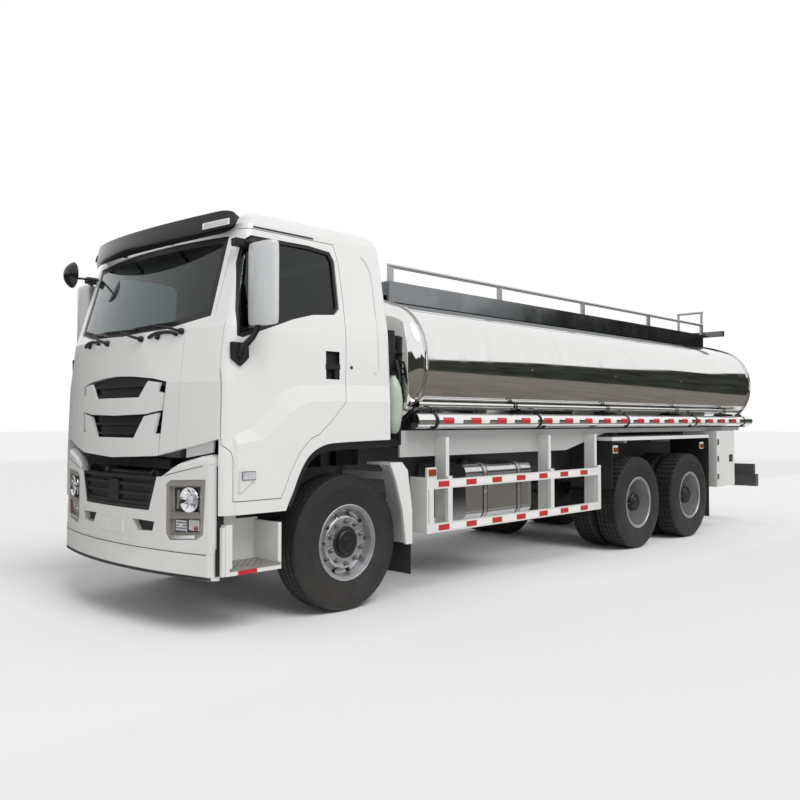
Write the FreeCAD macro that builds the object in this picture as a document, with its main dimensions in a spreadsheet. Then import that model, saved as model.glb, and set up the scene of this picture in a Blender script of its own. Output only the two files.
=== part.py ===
import FreeCAD, Part
import math
import os
import re
import Sketcher

# Tanker truck, millimetres. X points forward, Y to the left, Z up.
# Outlines are drawn from the front axle; the sheet's axle value shifts them to the middle of the truck.

doc = FreeCAD.newDocument("tanker_truck")
sheet = doc.addObject("Spreadsheet::Sheet", "Sizes")

SIZES = {
    "front_overhang": 1400,
    "half_width": 1245,
    "tail_length": 790,
    "wheelbase": 4600,
    "tandem": 1370,
    "wheel_height": 541,
    # ladder frame
    "rail_out": 430,
    "rail_flange": 80,
    "rail_wall": 9,
    "rail_top": 1100,
    "rail_depth": 280,
    "rail_front": 1140,
    "bearer_height": 150,
    "cross_size": 110,
    # tank
    "tank_front": -850,
    "tank_half": 1220,
    "tank_rise": 670,
    "tank_middle": 2020,
    "crown_radius": 2600,
    "flank_radius": 750,
    "corner_radius": 500,
    "head_depth": 190,
    "tank_wall": 5,
    "tank_setback": 150,
    "rim_proud": 14,
    "rim_width": 55,
    # saddles, skirt and side tubes
    "saddle_front": -990,
    "saddle_width": 60,
    "skirt_out": 1070,
    "skirt_wall": 20,
    "skirt_top": 1420,
    "skirt_bottom": 1190,
    "tube_radius": 70,
    "tube_side": 1170,
    "tube_front": -755,
    "tube_seat": 15,
    "tube_tail": 50,
    "pipe_rise": 75,
    "pipe_radius": 25,
    "pipe_side": 1150,
    # walkway and rails
    "deck_half": 600,
    "board_wall": 30,
    "board_top": 2820,
    "deck_front": -1030,
    "deck_setback": 180,
    "deck_wall": 12,
    "handrail_height": 2985,
    "handrail_radius": 19,
    "manhole_radius": 250,
    "manhole_wall": 12,
    "manhole_height": 110,
    "manhole_x_front": -2700,
    "manhole_setback": 1870,
    "lid_wall": 25,
    "ear_half": 60,
    "hinge_pin": 8,
    "hinge_barrel": 16,
    "ladder_side": 200,
    "ladder_half": 190,
    "ladder_top": 3220,
    # wheels
    "tyre_radius": 541,
    "tyre_width": 300,
    "bead_radius": 286,
    "front_wheel_side": 1030,
    "rear_outer_side": 1090,
    "dual_pitch": 340,
    "kingpin_side": 860,
    "hub_bore": 62,
    "hand_circle": 200,
    "hand_hole": 26,
    "bearing_gap": 0.3,
    # cab
    "cab_nose": 1390,
    "cab_bow": 4300,
    "cab_half": 1228,
    "cab_corner": 80,
    "cab_back_corner": 55,
    "cab_wall": 40,
    "door_wall": 60,
    "cab_bottom": 850,
    "cab_rear": -450,
    "roof_top": 3060,
    "panel_gap": 6,
    "glass_wall": 5,
    "pivot_x": 1220,
    "pivot_height": 1100,
    "pivot_radius": 20,
    "floor_height": 1370,
    "floor_wall": 30,
    "cab_beam_half": 700,
    "tunnel_half": 500,
    "tunnel_top": 1610,
    # bumper
    "bumper_nose": 1400,
    "bumper_half": 1162,
    "bumper_rear": 1155,
    "bumper_corner": 90,
    "bumper_wall": 50,
    "bumper_top": 1100,
    "bumper_bottom": 400,
    "lip_top": 578,
    "lip_proud": 8,
    "bumper_end": 1188,
    "shoulder_depth": 70,
    "door_inner": 1160,
    "lamp_in": 690,
    "lamp_out": 1080,
    "lamp_low": 652,
    "lamp_high": 1096,
    # guards, boxes and tanks
    "guard_front": -850,
    "guard_tube": 80,
    "guard_gap": 250,
    "guard_low": 530,
    "guard_high": 910,
    "fuel_front": -1530,
    "fuel_length": 1040,
    "fuel_low": 570,
    "fuel_high": 1100,
    "fuel_in": 500,
    "fuel_out": 1110,
    "cabinet_gap": 230,
    "cabinet_length": 600,
    "cabinet_low": 600,
    "cabinet_high": 1370,
    "cabinet_in": 760,
    "cabinet_wall": 20,
    "mudguard_lead": 630,
    "mudguard_tail": 560,
    "mudguard_top": 1320,
    "mudguard_wall": 40,
    "mudguard_in": 620,
    "underrun_low": 530,
    "underrun_high": 710,
    "outlet_radius": 45,
    "outlet_bore": 38,
    "outlet_face": 1110,
    "flange_radius": 85,
    "flange_wall": 22,
    "flange_circle": 135,
    "flange_hole": 7,
    "plate_hole": 3.5,
    "plate_pitch": 218,
    "plate_height": 715,
    "seat_gap": 0.3,
}

# Sizes that follow from the others
FOLLOWING = {
    "mudguard_front": "=mudguard_lead - wheelbase",
    "mudguard_rear": "=-wheelbase - tandem - mudguard_tail",
    "guard_rear": "=mudguard_front + guard_gap",
    "cabinet_front": "=mudguard_rear - cabinet_gap",
    "cabinet_rear": "=cabinet_front - cabinet_length",
    "rail_rear": "=cabinet_rear - tail_length",
    "tank_rear": "=rail_rear + tank_setback",
    "deck_rear": "=tank_rear + deck_setback",
    "manhole_x_rear": "=tank_rear + manhole_setback",
    "tube_rear": "=tank_rear - tube_tail",
    "saddle_pitch": "=(saddle_front - tank_rear - 230) / 4",
    "tube_height": "=skirt_top + tube_seat + tube_radius",
    "pipe_height": "=tube_height + tube_radius + pipe_rise",
    "overall_length": "=front_overhang - rail_rear + 150",
    "axle": "=overall_length / 2 - front_overhang",
}

for row, (alias, value) in enumerate((SIZES | FOLLOWING).items(), start=1):
    sheet.set(f"A{row}", alias)
    sheet.set(f"B{row}", str(value))
    sheet.setAlias(f"B{row}", alias)
doc.recompute()

ALIASES = set(SIZES) | set(FOLLOWING)
HAND_HOLES = 10
NODES = []


def bound(text):
    """Expression with each alias pointed at the sheet."""
    return re.sub(r"[a-z_]+", lambda word: f"Sizes.{word[0]}" if word[0] in ALIASES else word[0], str(text))


def number(text):
    """Value of an expression in millimetres."""
    return float(sheet.evalExpression(bound(text)))


def bind(part, prop, text):
    """Tie one property to the sheet."""
    part.setExpression(prop, bound(text))


def node(part, label=None):
    """Mark an object as a sub-part that is exported under its Label."""
    if label:
        part.Label = label
    NODES.append(part)
    return part


def box(name, x, y, z):
    """Block between two expressions along each axis."""
    part = doc.addObject("Part::Box", name)
    for prop, span in (("Length", x), ("Width", y), ("Height", z)):
        bind(part, prop, f"({span[1]}) - ({span[0]})")
    bind(part, "Placement.Base.x", f"axle + ({x[0]})")
    bind(part, "Placement.Base.y", y[0])
    bind(part, "Placement.Base.z", z[0])
    return part


TURNS = {
    "x": FreeCAD.Rotation(FreeCAD.Vector(0, 1, 0), 90),
    "y": FreeCAD.Rotation(FreeCAD.Vector(1, 0, 0), -90),
    "z": FreeCAD.Rotation(),
}


def rod(name, axis, start, length, radius):
    """Cylinder from a start point along x, y or z."""
    part = doc.addObject("Part::Cylinder", name)
    part.Placement = FreeCAD.Placement(FreeCAD.Vector(), TURNS[axis])
    bind(part, "Radius", radius)
    bind(part, "Height", length)
    bind(part, "Placement.Base.x", f"axle + ({start[0]})")
    bind(part, "Placement.Base.y", start[1])
    bind(part, "Placement.Base.z", start[2])
    return part


def origin_plane(body, role):
    """One of the body's own origin planes."""
    return next(item for item in body.Origin.OriginFeatures if item.Role == role)


def draw(sketch, outline):
    """Closed outline of straight lines, each corner tied to the sheet."""
    values = [(number(u), number(v)) for u, v in outline]
    count = len(values)
    for index in range(count):
        start = FreeCAD.Vector(*values[index], 0)
        end = FreeCAD.Vector(*values[(index + 1) % count], 0)
        sketch.addGeometry(Part.LineSegment(start, end), False)
    for index in range(count):
        sketch.addConstraint(Sketcher.Constraint("Coincident", index, 2, (index + 1) % count, 1))
    for index, (u, v) in enumerate(outline):
        for kind, text, value in (("DistanceX", u, values[index][0]), ("DistanceY", v, values[index][1])):
            place = sketch.addConstraint(Sketcher.Constraint(kind, -1, 1, index, 1, value))
            if any(word in ALIASES for word in re.findall(r"[a-z_]+", str(text))):
                sketch.setExpression(f"Constraints[{place}]", bound(text))


def sketched(name, role, outline):
    """Body with one sketch on an origin plane, shifted to the front axle."""
    body = doc.addObject("PartDesign::Body", name)
    bind(body, "Placement.Base.x", "axle")
    sketch = body.newObject("Sketcher::SketchObject", f"{name}_outline")
    sketch.AttachmentSupport = [(origin_plane(body, role), "")]
    sketch.MapMode = "FlatFace"
    draw(sketch, outline)
    return body, sketch


def prism(name, role, outline, low, high):
    """Outline padded from low to high across its plane."""
    body, sketch = sketched(name, role, outline)
    bind(sketch, "AttachmentOffset.Base.z", f"-({high})" if role == "XZ_Plane" else low)
    pad = body.newObject("PartDesign::Pad", f"{name}_pad")
    pad.Profile = (sketch, [""])
    bind(pad, "Length", f"({high}) - ({low})")
    sketch.Visibility = False
    return body


def turned(name, outline, x, side="0", height="wheel_height"):
    """Outline of (along Y, radius) corners revolved about a Y axis through the wheel centre."""
    body, sketch = sketched(name, "YZ_Plane", outline)
    bind(body, "Placement.Base.x", f"axle + ({x})")
    bind(body, "Placement.Base.y", side)
    bind(body, "Placement.Base.z", height)
    revolution = body.newObject("PartDesign::Revolution", f"{name}_turn")
    revolution.Profile = (sketch, [""])
    revolution.ReferenceAxis = (sketch, ["H_Axis"])
    revolution.Angle = 360
    return body


def fused(name, parts):
    """One solid from parts that overlap or share faces."""
    fuse = doc.addObject("Part::MultiFuse", name)
    fuse.Shapes = parts
    fuse.Refine = True
    return fuse


def gathered(name, parts):
    """Separate solids that share a node."""
    group = doc.addObject("Part::Compound", name)
    group.Links = parts
    return group


def cut(name, base, tool):
    """Base less tool."""
    result = doc.addObject("Part::Cut", name)
    result.Base = base
    result.Tool = tool
    result.Refine = True
    return result


def mirrored(name, part):
    """Right-hand copy of a left-hand part."""
    copy = doc.addObject("Part::Mirroring", name)
    copy.Source = part
    copy.Normal = (0, 1, 0)
    return copy


def both_sides(name, part):
    """Left and right solids in one node."""
    return gathered(name, [part, mirrored(f"{name}_right", part)])


def shaped(name, shape):
    """Free-form solid moved to the front axle."""
    part = doc.addObject("Part::Feature", name)
    part.Shape = shape
    part.Placement = FreeCAD.Placement(FreeCAD.Vector(number("axle"), 0, 0), FreeCAD.Rotation())
    return part


def vector(x, y, z):
    return FreeCAD.Vector(x, y, z)


def single(shape):
    """Largest solid of a shape."""
    return max(shape.Solids, key=lambda solid: solid.Volume)


# Tank

def tank_section(x, inset):
    """Oval of eight tangent arcs, set in evenly from the tank's outline."""
    half = number("tank_half") - inset
    rise = number("tank_rise") - inset
    crown = number("crown_radius") - inset
    flank = number("flank_radius") - inset
    corner = number("corner_radius") - inset
    middle = number("tank_middle")
    crown_centre = rise - crown
    flank_centre = half - flank
    reach = math.hypot(crown_centre, flank_centre)
    long_side = crown - corner
    short_side = flank - corner
    along = (reach ** 2 + long_side ** 2 - short_side ** 2) / (2 * reach)
    across = math.sqrt(long_side ** 2 - along ** 2)
    unit_y, unit_z = flank_centre / reach, -crown_centre / reach
    corner_y = unit_y * along + unit_z * across
    corner_z = crown_centre + unit_z * along - unit_y * across
    if corner_z < 0:
        corner_y = unit_y * along - unit_z * across
        corner_z = crown_centre + unit_z * along + unit_y * across
    tilt = math.atan2(corner_y, corner_z - crown_centre)
    crown_end = (crown * math.sin(tilt), crown_centre + crown * math.cos(tilt))
    lean = math.atan2(corner_z, corner_y - flank_centre)
    flank_end = (flank_centre + flank * math.cos(lean), flank * math.sin(lean))
    middle_angle = (math.pi / 2 - tilt + lean) / 2
    corner_middle = (corner_y + corner * math.cos(middle_angle), corner_z + corner * math.sin(middle_angle))

    def point(y, z):
        return vector(x, y, middle + z)

    def arc(first, second, third):
        return Part.Arc(point(*first), point(*second), point(*third)).toShape()

    edges = [arc((-crown_end[0], crown_end[1]), (0, rise), crown_end)]
    edges.append(arc(crown_end, corner_middle, flank_end))
    edges.append(arc(flank_end, (half, 0), (flank_end[0], -flank_end[1])))
    edges.append(arc((flank_end[0], -flank_end[1]), (corner_middle[0], -corner_middle[1]),
                     (crown_end[0], -crown_end[1])))
    edges.append(arc((crown_end[0], -crown_end[1]), (0, -rise), (-crown_end[0], -crown_end[1])))
    edges.append(arc((-crown_end[0], -crown_end[1]), (-corner_middle[0], -corner_middle[1]),
                     (-flank_end[0], -flank_end[1])))
    edges.append(arc((-flank_end[0], -flank_end[1]), (-half, 0), (-flank_end[0], flank_end[1])))
    edges.append(arc((-flank_end[0], flank_end[1]), (-corner_middle[0], corner_middle[1]),
                     (-crown_end[0], crown_end[1])))
    return Part.Wire(edges)


def dished_head(x, direction, wall):
    """Shallow dish that closes the barrel at x, bulging along direction and set in by the wall."""
    rise = number("tank_rise")
    depth = number("head_depth") - wall
    sections = []
    for angle in (0, 20, 40, 58, 72, 82):
        inset = wall + (0.62 * rise - wall) * (1 - math.cos(math.radians(angle)))
        bulge = depth * math.sin(math.radians(angle))
        sections.append(tank_section(x + direction * bulge, inset))
    return Part.makeLoft(sections, True, False)


def tank_shapes():
    """Hollow barrel with two dished heads and rim bands, and the same without its hollow."""
    front, rear = number("tank_front"), number("tank_rear")
    filled = []
    for wall in (0, number("tank_wall")):
        barrel = Part.Face(tank_section(rear, wall)).extrude(vector(front - rear, 0, 0))
        filled.append(barrel.fuse([dished_head(front, 1, wall), dished_head(rear, -1, wall)]).removeSplitter())
    shape = filled[0]
    proud, width = number("rim_proud"), number("rim_width")
    for start in (front - width, rear):
        shape = shape.fuse(Part.Face(tank_section(start, -proud)).extrude(vector(width, 0, 0)))
    shape = shape.removeSplitter()
    return shape.cut(filled[1]), shape


def surface_height(side):
    """Height of the tank's top at a distance from its middle."""
    crown = number("crown_radius")
    return number("tank_middle + tank_rise") - crown + math.sqrt(crown ** 2 - side ** 2)


tank_hollow, tank_full = tank_shapes()
node(shaped("tank_shell", tank_hollow))
tank = shaped("tank_outline", tank_full)

# Ladder frame

RAIL_LOW = "rail_top - rail_depth"
C_SECTION = (
    ("rail_out", RAIL_LOW), ("rail_out", "rail_top"), ("rail_out - rail_flange", "rail_top"),
    ("rail_out - rail_flange", "rail_top - rail_wall"), ("rail_out - rail_wall", "rail_top - rail_wall"),
    ("rail_out - rail_wall", f"{RAIL_LOW} + rail_wall"), ("rail_out - rail_flange", f"{RAIL_LOW} + rail_wall"),
    ("rail_out - rail_flange", RAIL_LOW),
)
RAIL_INNER = "rail_out - rail_wall"
CROSS_MEMBERS = ("rail_front - 100", "-wheelbase + 2700", "-wheelbase + 1400", "-wheelbase + 450",
                 "-wheelbase - tandem / 2", "-wheelbase - tandem - 530", "rail_rear + 50")
rail = prism("rail", "YZ_Plane", C_SECTION, "rail_rear", "rail_front")
members = [rail, mirrored("rail_right", rail)]
for index, x in enumerate(CROSS_MEMBERS):
    members.append(box(f"cross_member_{index}", (x, f"{x} + cross_size * 0.6"), (f"-({RAIL_INNER})", RAIL_INNER),
                       (f"{RAIL_LOW} + 90", f"{RAIL_LOW} + 90 + cross_size")))
LUG_OUT = "rail_out - 5"
for side in (1, -1):
    inner, outer = sorted((f"{side} * (rail_out - 45)", f"{side} * ({LUG_OUT})"), key=number)
    members.append(box(f"pivot_post_{side + 1}", ("pivot_x - 100", "pivot_x + 25"), (inner, outer),
                       (f"{RAIL_LOW} + 60", "pivot_height + 30")))
pivot_pin = rod("pivot_pin", "y", ("pivot_x", "-rail_out", "pivot_height"), "2 * rail_out", "pivot_radius")
members.append(pivot_pin)
members.append(box("cab_beam", ("cab_rear + 30", "cab_rear + 110"), ("-cab_beam_half", "cab_beam_half"),
                   ("floor_height - floor_wall - 60", "floor_height - floor_wall - seat_gap")))
for side in (1, -1):
    inner, outer = sorted((f"{side} * (rail_out - rail_flange)", f"{side} * rail_out"), key=number)
    members.append(box(f"cab_post_{side + 1}", ("cab_rear + 30", "cab_rear + 110"), (inner, outer),
                       ("rail_top - 20", "floor_height - floor_wall - 50")))
node(fused("frame_rails", members))

# Bearers, saddles, skirts and tube brackets under the tank

BEARER_TOP = "rail_top + bearer_height"
bearer = box("bearer", ("rail_rear", "tank_front + 60"), ("rail_out - rail_flange", "rail_out"),
             ("rail_top", BEARER_TOP))
node(both_sides("tank_bearers", bearer))
SADDLE_END = "skirt_out - skirt_wall - seat_gap"
SADDLE_LOW = "skirt_top - 80"
SADDLE_STEP = "mudguard_in - 20"
SADDLE = (
    (SADDLE_END, SADDLE_LOW), (SADDLE_END, "tank_middle - 330"), (f"-({SADDLE_END})", "tank_middle - 330"),
    (f"-({SADDLE_END})", SADDLE_LOW), (f"-({SADDLE_STEP})", SADDLE_LOW), (f"-({SADDLE_STEP})", BEARER_TOP),
    (SADDLE_STEP, BEARER_TOP), (SADDLE_STEP, SADDLE_LOW),
)
SADDLES = [f"saddle_front - {index} * saddle_pitch" for index in range(5)]
saddles = []
for index, x in enumerate(SADDLES):
    span = (f"{x} - saddle_width / 2", f"{x} + saddle_width / 2")
    arm = box(f"tube_arm_{index}", span, ("skirt_out - skirt_wall - 200", "tube_side + 60"),
              ("skirt_top + seat_gap", "skirt_top + tube_seat"))
    saddles.append(fused(f"saddle_solid_{index}", [prism(f"saddle_{index}", "YZ_Plane", SADDLE, *span), arm,
                                                   mirrored(f"tube_arm_right_{index}", arm)]))
node(cut("tank_saddles", gathered("saddle_set", saddles), tank))
SKIRT = (
    ("tank_front + 160", "skirt_bottom"), ("tank_front + 160", "skirt_top"), ("tank_rear + 30", "skirt_top"),
    ("tank_rear + 30", "skirt_top - 50"), ("mudguard_front - 140", "skirt_top - 50"),
    ("mudguard_front + 690", "skirt_bottom"),
)
skirt = prism("skirt", "XZ_Plane", SKIRT, "skirt_out - skirt_wall", "skirt_out")
node(both_sides("side_skirts", skirt))

# Side tubes and pipes

tube = rod("tube", "x", ("tube_rear", "tube_side", "tube_height"), "tube_front - tube_rear", "tube_radius")
pipe = rod("pipe", "x", ("tank_rear + 290", "pipe_side", "pipe_height"), "tube_front - tank_rear - 365",
           "pipe_radius")
clips = []
for index, x in enumerate(SADDLES):
    clips.append(box(f"pipe_clip_{index}", (f"{x} - 12", f"{x} + 12"), ("pipe_side - 12", "pipe_side + 12"),
                     ("tube_height + tube_radius - 8", "pipe_height - pipe_radius + 5")))
node(both_sides("side_tubes", fused("side_tube", [tube, pipe] + clips)))

# Walkway, manholes and rails on top

board_bottom = surface_height(number("deck_half - board_wall")) + number("seat_gap")
LAST_ROW = len(ALIASES) + 1
sheet.set(f"A{LAST_ROW}", "board_bottom")
sheet.set(f"B{LAST_ROW}", str(board_bottom))
sheet.setAlias(f"B{LAST_ROW}", "board_bottom")
ALIASES.add("board_bottom")
doc.recompute()

DECK_LOW = "tank_middle + tank_rise + seat_gap"
board = box("board", ("deck_rear", "deck_front"), ("deck_half - board_wall", "deck_half"),
            ("board_bottom", "board_top"))
walkway = [board, mirrored("board_right", board)]
walkway.append(box("deck", ("deck_rear", "deck_front"), ("board_wall - deck_half", "deck_half - board_wall"),
                   (DECK_LOW, f"{DECK_LOW} + deck_wall")))
walkway.append(box("deck_front_board", ("deck_front - board_wall", "deck_front"), ("-deck_half", "deck_half"),
                   (DECK_LOW, "board_top")))
walkway.append(box("rear_bar", ("deck_rear - 60", "deck_rear"), ("-900", "900"),
                   ("board_top - 40", "board_top + 40")))
MANHOLES = ("manhole_x_front", "manhole_x_rear")
LID_LOW = f"{DECK_LOW} + deck_wall + manhole_height"
for index, x in enumerate(MANHOLES):
    walkway.append(rod(f"manhole_collar_{index}", "z", (x, "0", DECK_LOW), "deck_wall + manhole_height",
                       "manhole_radius"))
    for side in (1, -1):
        span = sorted((f"{side} * (ear_half + 2)", f"{side} * (ear_half + 20)"), key=number)
        lug_rear = f"{x} - manhole_radius - 70"
        walkway.append(box(f"hinge_lug_{index}_{side + 1}", (lug_rear, f"{lug_rear} + 40"), span,
                           (DECK_LOW, f"{LID_LOW} + lid_wall / 2 + 20")))
        walkway.append(box(f"hinge_web_{index}_{side + 1}", (lug_rear, f"{lug_rear} + 90"), span,
                           (DECK_LOW, f"{DECK_LOW} + manhole_height / 2")))
    walkway.append(rod(f"hinge_pin_{index}", "y", (f"{x} - manhole_radius - 50", "-ear_half - 20",
                                                   f"{LID_LOW} + seat_gap + lid_wall / 2"), "2 * ear_half + 40",
                       "hinge_pin"))
deck_solid = fused("deck_solid", walkway)
wells = fused("manhole_wells", [
    rod(f"manhole_well_{index}", "z", (x, "0", f"{DECK_LOW} + deck_wall"), "manhole_height + 10",
        "manhole_radius - manhole_wall") for index, x in enumerate(MANHOLES)])
node(cut("walkway", deck_solid, wells))
for name, x in zip(("manhole_lid_front", "manhole_lid_rear"), MANHOLES):
    plate = rod(f"{name}_plate", "z", (x, "0", f"{LID_LOW} + seat_gap"), "lid_wall", "manhole_radius + 12")
    ear = box(f"{name}_ear", (f"{x} - manhole_radius - 50", f"{x} - manhole_radius + 60"), ("-ear_half", "ear_half"),
              (f"{LID_LOW} + seat_gap", f"{LID_LOW} + seat_gap + lid_wall"))
    knob = rod(f"{name}_neck", "z", (x, "0", f"{LID_LOW} + seat_gap"), "lid_wall + 45", "90")
    start = (f"{x} - manhole_radius - 50", "-ear_half", f"{LID_LOW} + seat_gap + lid_wall / 2")
    barrel = rod(f"{name}_barrel", "y", start, "2 * ear_half", "hinge_barrel")
    pin_hole = rod(f"{name}_pin_hole", "y", start, "2 * ear_half", "hinge_pin + seat_gap")
    node(cut(name, fused(f"{name}_solid", [plate, ear, knob, barrel]), pin_hole))

POSTS = [f"deck_front - {index} * (deck_front - deck_rear - 60) / 4" for index in range(5)]
top_bar = rod("top_bar", "x", ("deck_rear", "deck_half - board_wall / 2", "handrail_height - handrail_radius"),
              "deck_front - deck_rear", "handrail_radius")
rail_parts = [top_bar]
for index, x in enumerate(POSTS):
    rail_parts.append(box(f"rail_post_{index}", (f"{x} - 60", x), ("deck_half - board_wall", "deck_half"),
                          ("board_top", "handrail_height - handrail_radius")))
handrail = fused("handrail", rail_parts)
ladder = []
for side in (-1, 1):
    y = f"ladder_side + {side} * ladder_half"
    ladder.append(rod(f"ladder_stile_{side + 1}", "z", ("rail_rear - 85", y, "880"), "ladder_top - 880", "18"))
    ladder.append(box(f"ladder_foot_{side + 1}", ("rail_rear - 85", "tank_rear - head_depth + 60"),
                      (f"{y} - 15", f"{y} + 15"), ("tank_middle + 300", "tank_middle + 330")))
    ladder.append(box(f"ladder_link_{side + 1}", ("rail_rear - 85", "rail_rear"), (f"{y} - 15", f"{y} + 15"),
                      ("rail_top - 50", "rail_top")))
for index in range(8):
    ladder.append(rod(f"ladder_rung_{index}", "y",
                      ("rail_rear - 85", "ladder_side - ladder_half", f"900 + {index} * 280"),
                      "2 * ladder_half", "14"))
ladder.append(rod("ladder_hoop", "y", ("rail_rear - 85", "ladder_side - ladder_half - 18", "ladder_top"),
                  "2 * ladder_half + 36", "18"))
rear_ladder = cut("rear_ladder", fused("ladder_solid", ladder), tank)
node(gathered("handrails_and_ladder", [handrail, mirrored("handrail_right", handrail), rear_ladder]))

# Rear mudguards and flaps

top_plate = box("mudguard_plate", ("mudguard_rear", "mudguard_front"), ("mudguard_in", "half_width - 5"),
                ("mudguard_top - mudguard_wall", "mudguard_top"))
stays = [box(f"mudguard_stay_{index}", (f"{x} - 30", f"{x} + 30"), ("rail_out", "mudguard_in + 60"),
             ("mudguard_top - mudguard_wall - 60", "mudguard_top - mudguard_wall"))
         for index, x in enumerate(("mudguard_front - 60", "-wheelbase - tandem / 2", "mudguard_rear + 60"))]
node(both_sides("rear_mudguards", fused("rear_mudguard", [top_plate] + stays)))
FLAP_TOP = "mudguard_top - mudguard_wall"
flaps = [box("flap_front", ("mudguard_front - 12", "mudguard_front"), ("mudguard_in + 70", "half_width - 10"),
             ("740", FLAP_TOP)),
         box("flap_rear", ("mudguard_rear", "mudguard_rear + 12"), ("mudguard_in + 70", "half_width - 10"),
             ("220", FLAP_TOP)),
         box("flap_cab", ("-655", "-645"), ("960", "1235"), ("215", "470"))]
node(gathered("mudflaps", flaps + [mirrored(f"{item.Name}_right", item) for item in flaps]))

# Cabinets over the rear overhang

OUTLET_X, OUTLET_Z = "cabinet_rear + cabinet_length / 2", "cabinet_low + 300"
cabinet_outer = box("cabinet_outer", ("cabinet_rear", "cabinet_front"), ("cabinet_in", "half_width - 25"),
                    ("cabinet_low", "cabinet_high"))
cabinet_inner = box("cabinet_inner", ("cabinet_rear + cabinet_wall", "cabinet_front - cabinet_wall"),
                    ("cabinet_in + cabinet_wall", "half_width"),
                    ("cabinet_low + cabinet_wall", "cabinet_high - cabinet_wall"))
pipe_hole = rod("pipe_hole", "y", (OUTLET_X, "cabinet_in - 10", OUTLET_Z), "100", "outlet_radius + seat_gap")
cabinet_shell = cut("cabinet_shell", cabinet_outer, fused("cabinet_room", [cabinet_inner, pipe_hole]))
cabinet_stay = box("cabinet_stay", ("cabinet_rear + 100", "cabinet_rear + 160"), ("rail_out", "cabinet_in"),
                   ("rail_top - 200", "rail_top - 120"))
node(both_sides("cabinets", fused("cabinet", [cabinet_shell, cabinet_stay])))
for side, name in ((1, "cabinet_door_left"), (-1, "cabinet_door_right")):
    span = sorted((f"{side} * (half_width - 25 + seat_gap)", f"{side} * half_width"), key=number)
    node(box(name, ("cabinet_rear + 3", "cabinet_front - 3"), span, ("cabinet_low + 3", "cabinet_high - 3")))
outlet = rod("outlet", "y", (OUTLET_X, "rail_out", OUTLET_Z), "outlet_face - rail_out", "outlet_radius")
flange = rod("outlet_flange", "y", (OUTLET_X, "outlet_face - flange_wall", OUTLET_Z), "flange_wall",
             "flange_radius")
passages = [rod("outlet_bore", "y", (OUTLET_X, "rail_out + 60", OUTLET_Z), "outlet_face - rail_out",
                "outlet_bore")]
for index in range(4):
    angle = 45 + 90 * index
    passages.append(rod(f"flange_hole_{index}", "y",
                        (f"{OUTLET_X} + flange_circle / 2 * cos({angle})", "outlet_face - flange_wall - 5",
                         f"{OUTLET_Z} + flange_circle / 2 * sin({angle})"), "flange_wall + 10", "flange_hole"))
outlet_left = cut("discharge_pipe", fused("outlet_solid", [outlet, flange]), fused("outlet_passages", passages))

# Side guards

GUARD_Y = ("half_width - 45", "half_width - 5")
guard = []
for name, low in (("low", "guard_low"), ("high", "guard_high")):
    guard.append(box(f"guard_{name}", ("guard_rear", "guard_front"), GUARD_Y, (low, f"{low} + guard_tube")))
for index, x in enumerate(("guard_front - 90", "guard_front - 340", "guard_front - 1950", "guard_rear")):
    guard.append(box(f"guard_post_{index}", (x, f"{x} + 60"), GUARD_Y,
                     ("guard_low", "guard_high + guard_tube + 25")))
for index, x in enumerate(("guard_front - 340", "guard_front - 1950", "guard_rear + 20")):
    guard.append(box(f"guard_hanger_{index}", (x, f"{x} + 45"), ("skirt_out", GUARD_Y[0]),
                     ("guard_low", "skirt_top - 60")))
guard.append(box("guard_return", ("guard_front - 20", "guard_front"), ("1040", GUARD_Y[1]),
                 ("guard_low", "guard_high + guard_tube + 25")))
node(both_sides("side_guards", fused("side_guard", guard)))

# Fuel tank, battery box and air tanks

fuel_block = box("fuel_block", ("fuel_front - fuel_length", "fuel_front"), ("fuel_in", "fuel_out"),
                 ("fuel_low", "fuel_high"))
doc.recompute()
fuel_round = doc.addObject("Part::Fillet", "fuel_round")
fuel_round.Base = fuel_block
fuel_round.Edges = [(index, 90, 90) for index, edge in enumerate(fuel_block.Shape.Edges, start=1)
                    if abs(edge.tangentAt(edge.FirstParameter).x) > 0.9]
fuel = [fuel_round]
for index, x in enumerate(("fuel_front - 290", "fuel_front - 830")):
    fuel.append(box(f"fuel_bracket_{index}", (f"{x} - 30", f"{x} + 30"), ("rail_out", "fuel_in + 60"),
                    ("fuel_low + 120", "fuel_high - 60")))
node(fused("fuel_tank", fuel))
battery = box("battery_case", ("-1650", "-1050"), ("-1060", "-500"), ("600", "1060"))
battery_arm = box("battery_arm", ("-1400", "-1300"), ("-500", "-rail_out"), ("860", "960"))
air = []
for index, x in enumerate(("-2650", "-3600")):
    air.append(rod(f"air_tank_{index}", "x", (x, "-760", "800"), "850", "150"))
    air.append(box(f"air_strap_{index}", (f"{x} + 380", f"{x} + 440"), ("-640", "-rail_out"), ("860", "930")))
node(gathered("battery_and_air_tanks", [fused("battery_box", [battery, battery_arm])]
              + [fused(f"air_unit_{index}", air[2 * index:2 * index + 2]) for index in range(2)]))

# Air intake behind the cab

intake_box = box("intake_box", ("-640", "-505"), ("880", "1080"), ("1500", "2280"))
doc.recompute()
intake_round = doc.addObject("Part::Fillet", "intake_round")
intake_round.Base = intake_box
intake_round.Edges = [(index, 40, 40) for index, edge in enumerate(intake_box.Shape.Edges, start=1)
                      if abs(edge.tangentAt(edge.FirstParameter).z) > 0.9]
intake_arm = box("intake_arm", ("-625", "-520"), ("rail_out - rail_flange", "900"), ("1500", "1560"))
intake_post = box("intake_post", ("-625", "-520"), ("rail_out - rail_flange", "rail_out"),
                  ("rail_top + seat_gap", "1530"))
node(fused("air_intake", [intake_round, intake_arm, intake_post]))

# Engine, gearbox and propeller shaft

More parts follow.
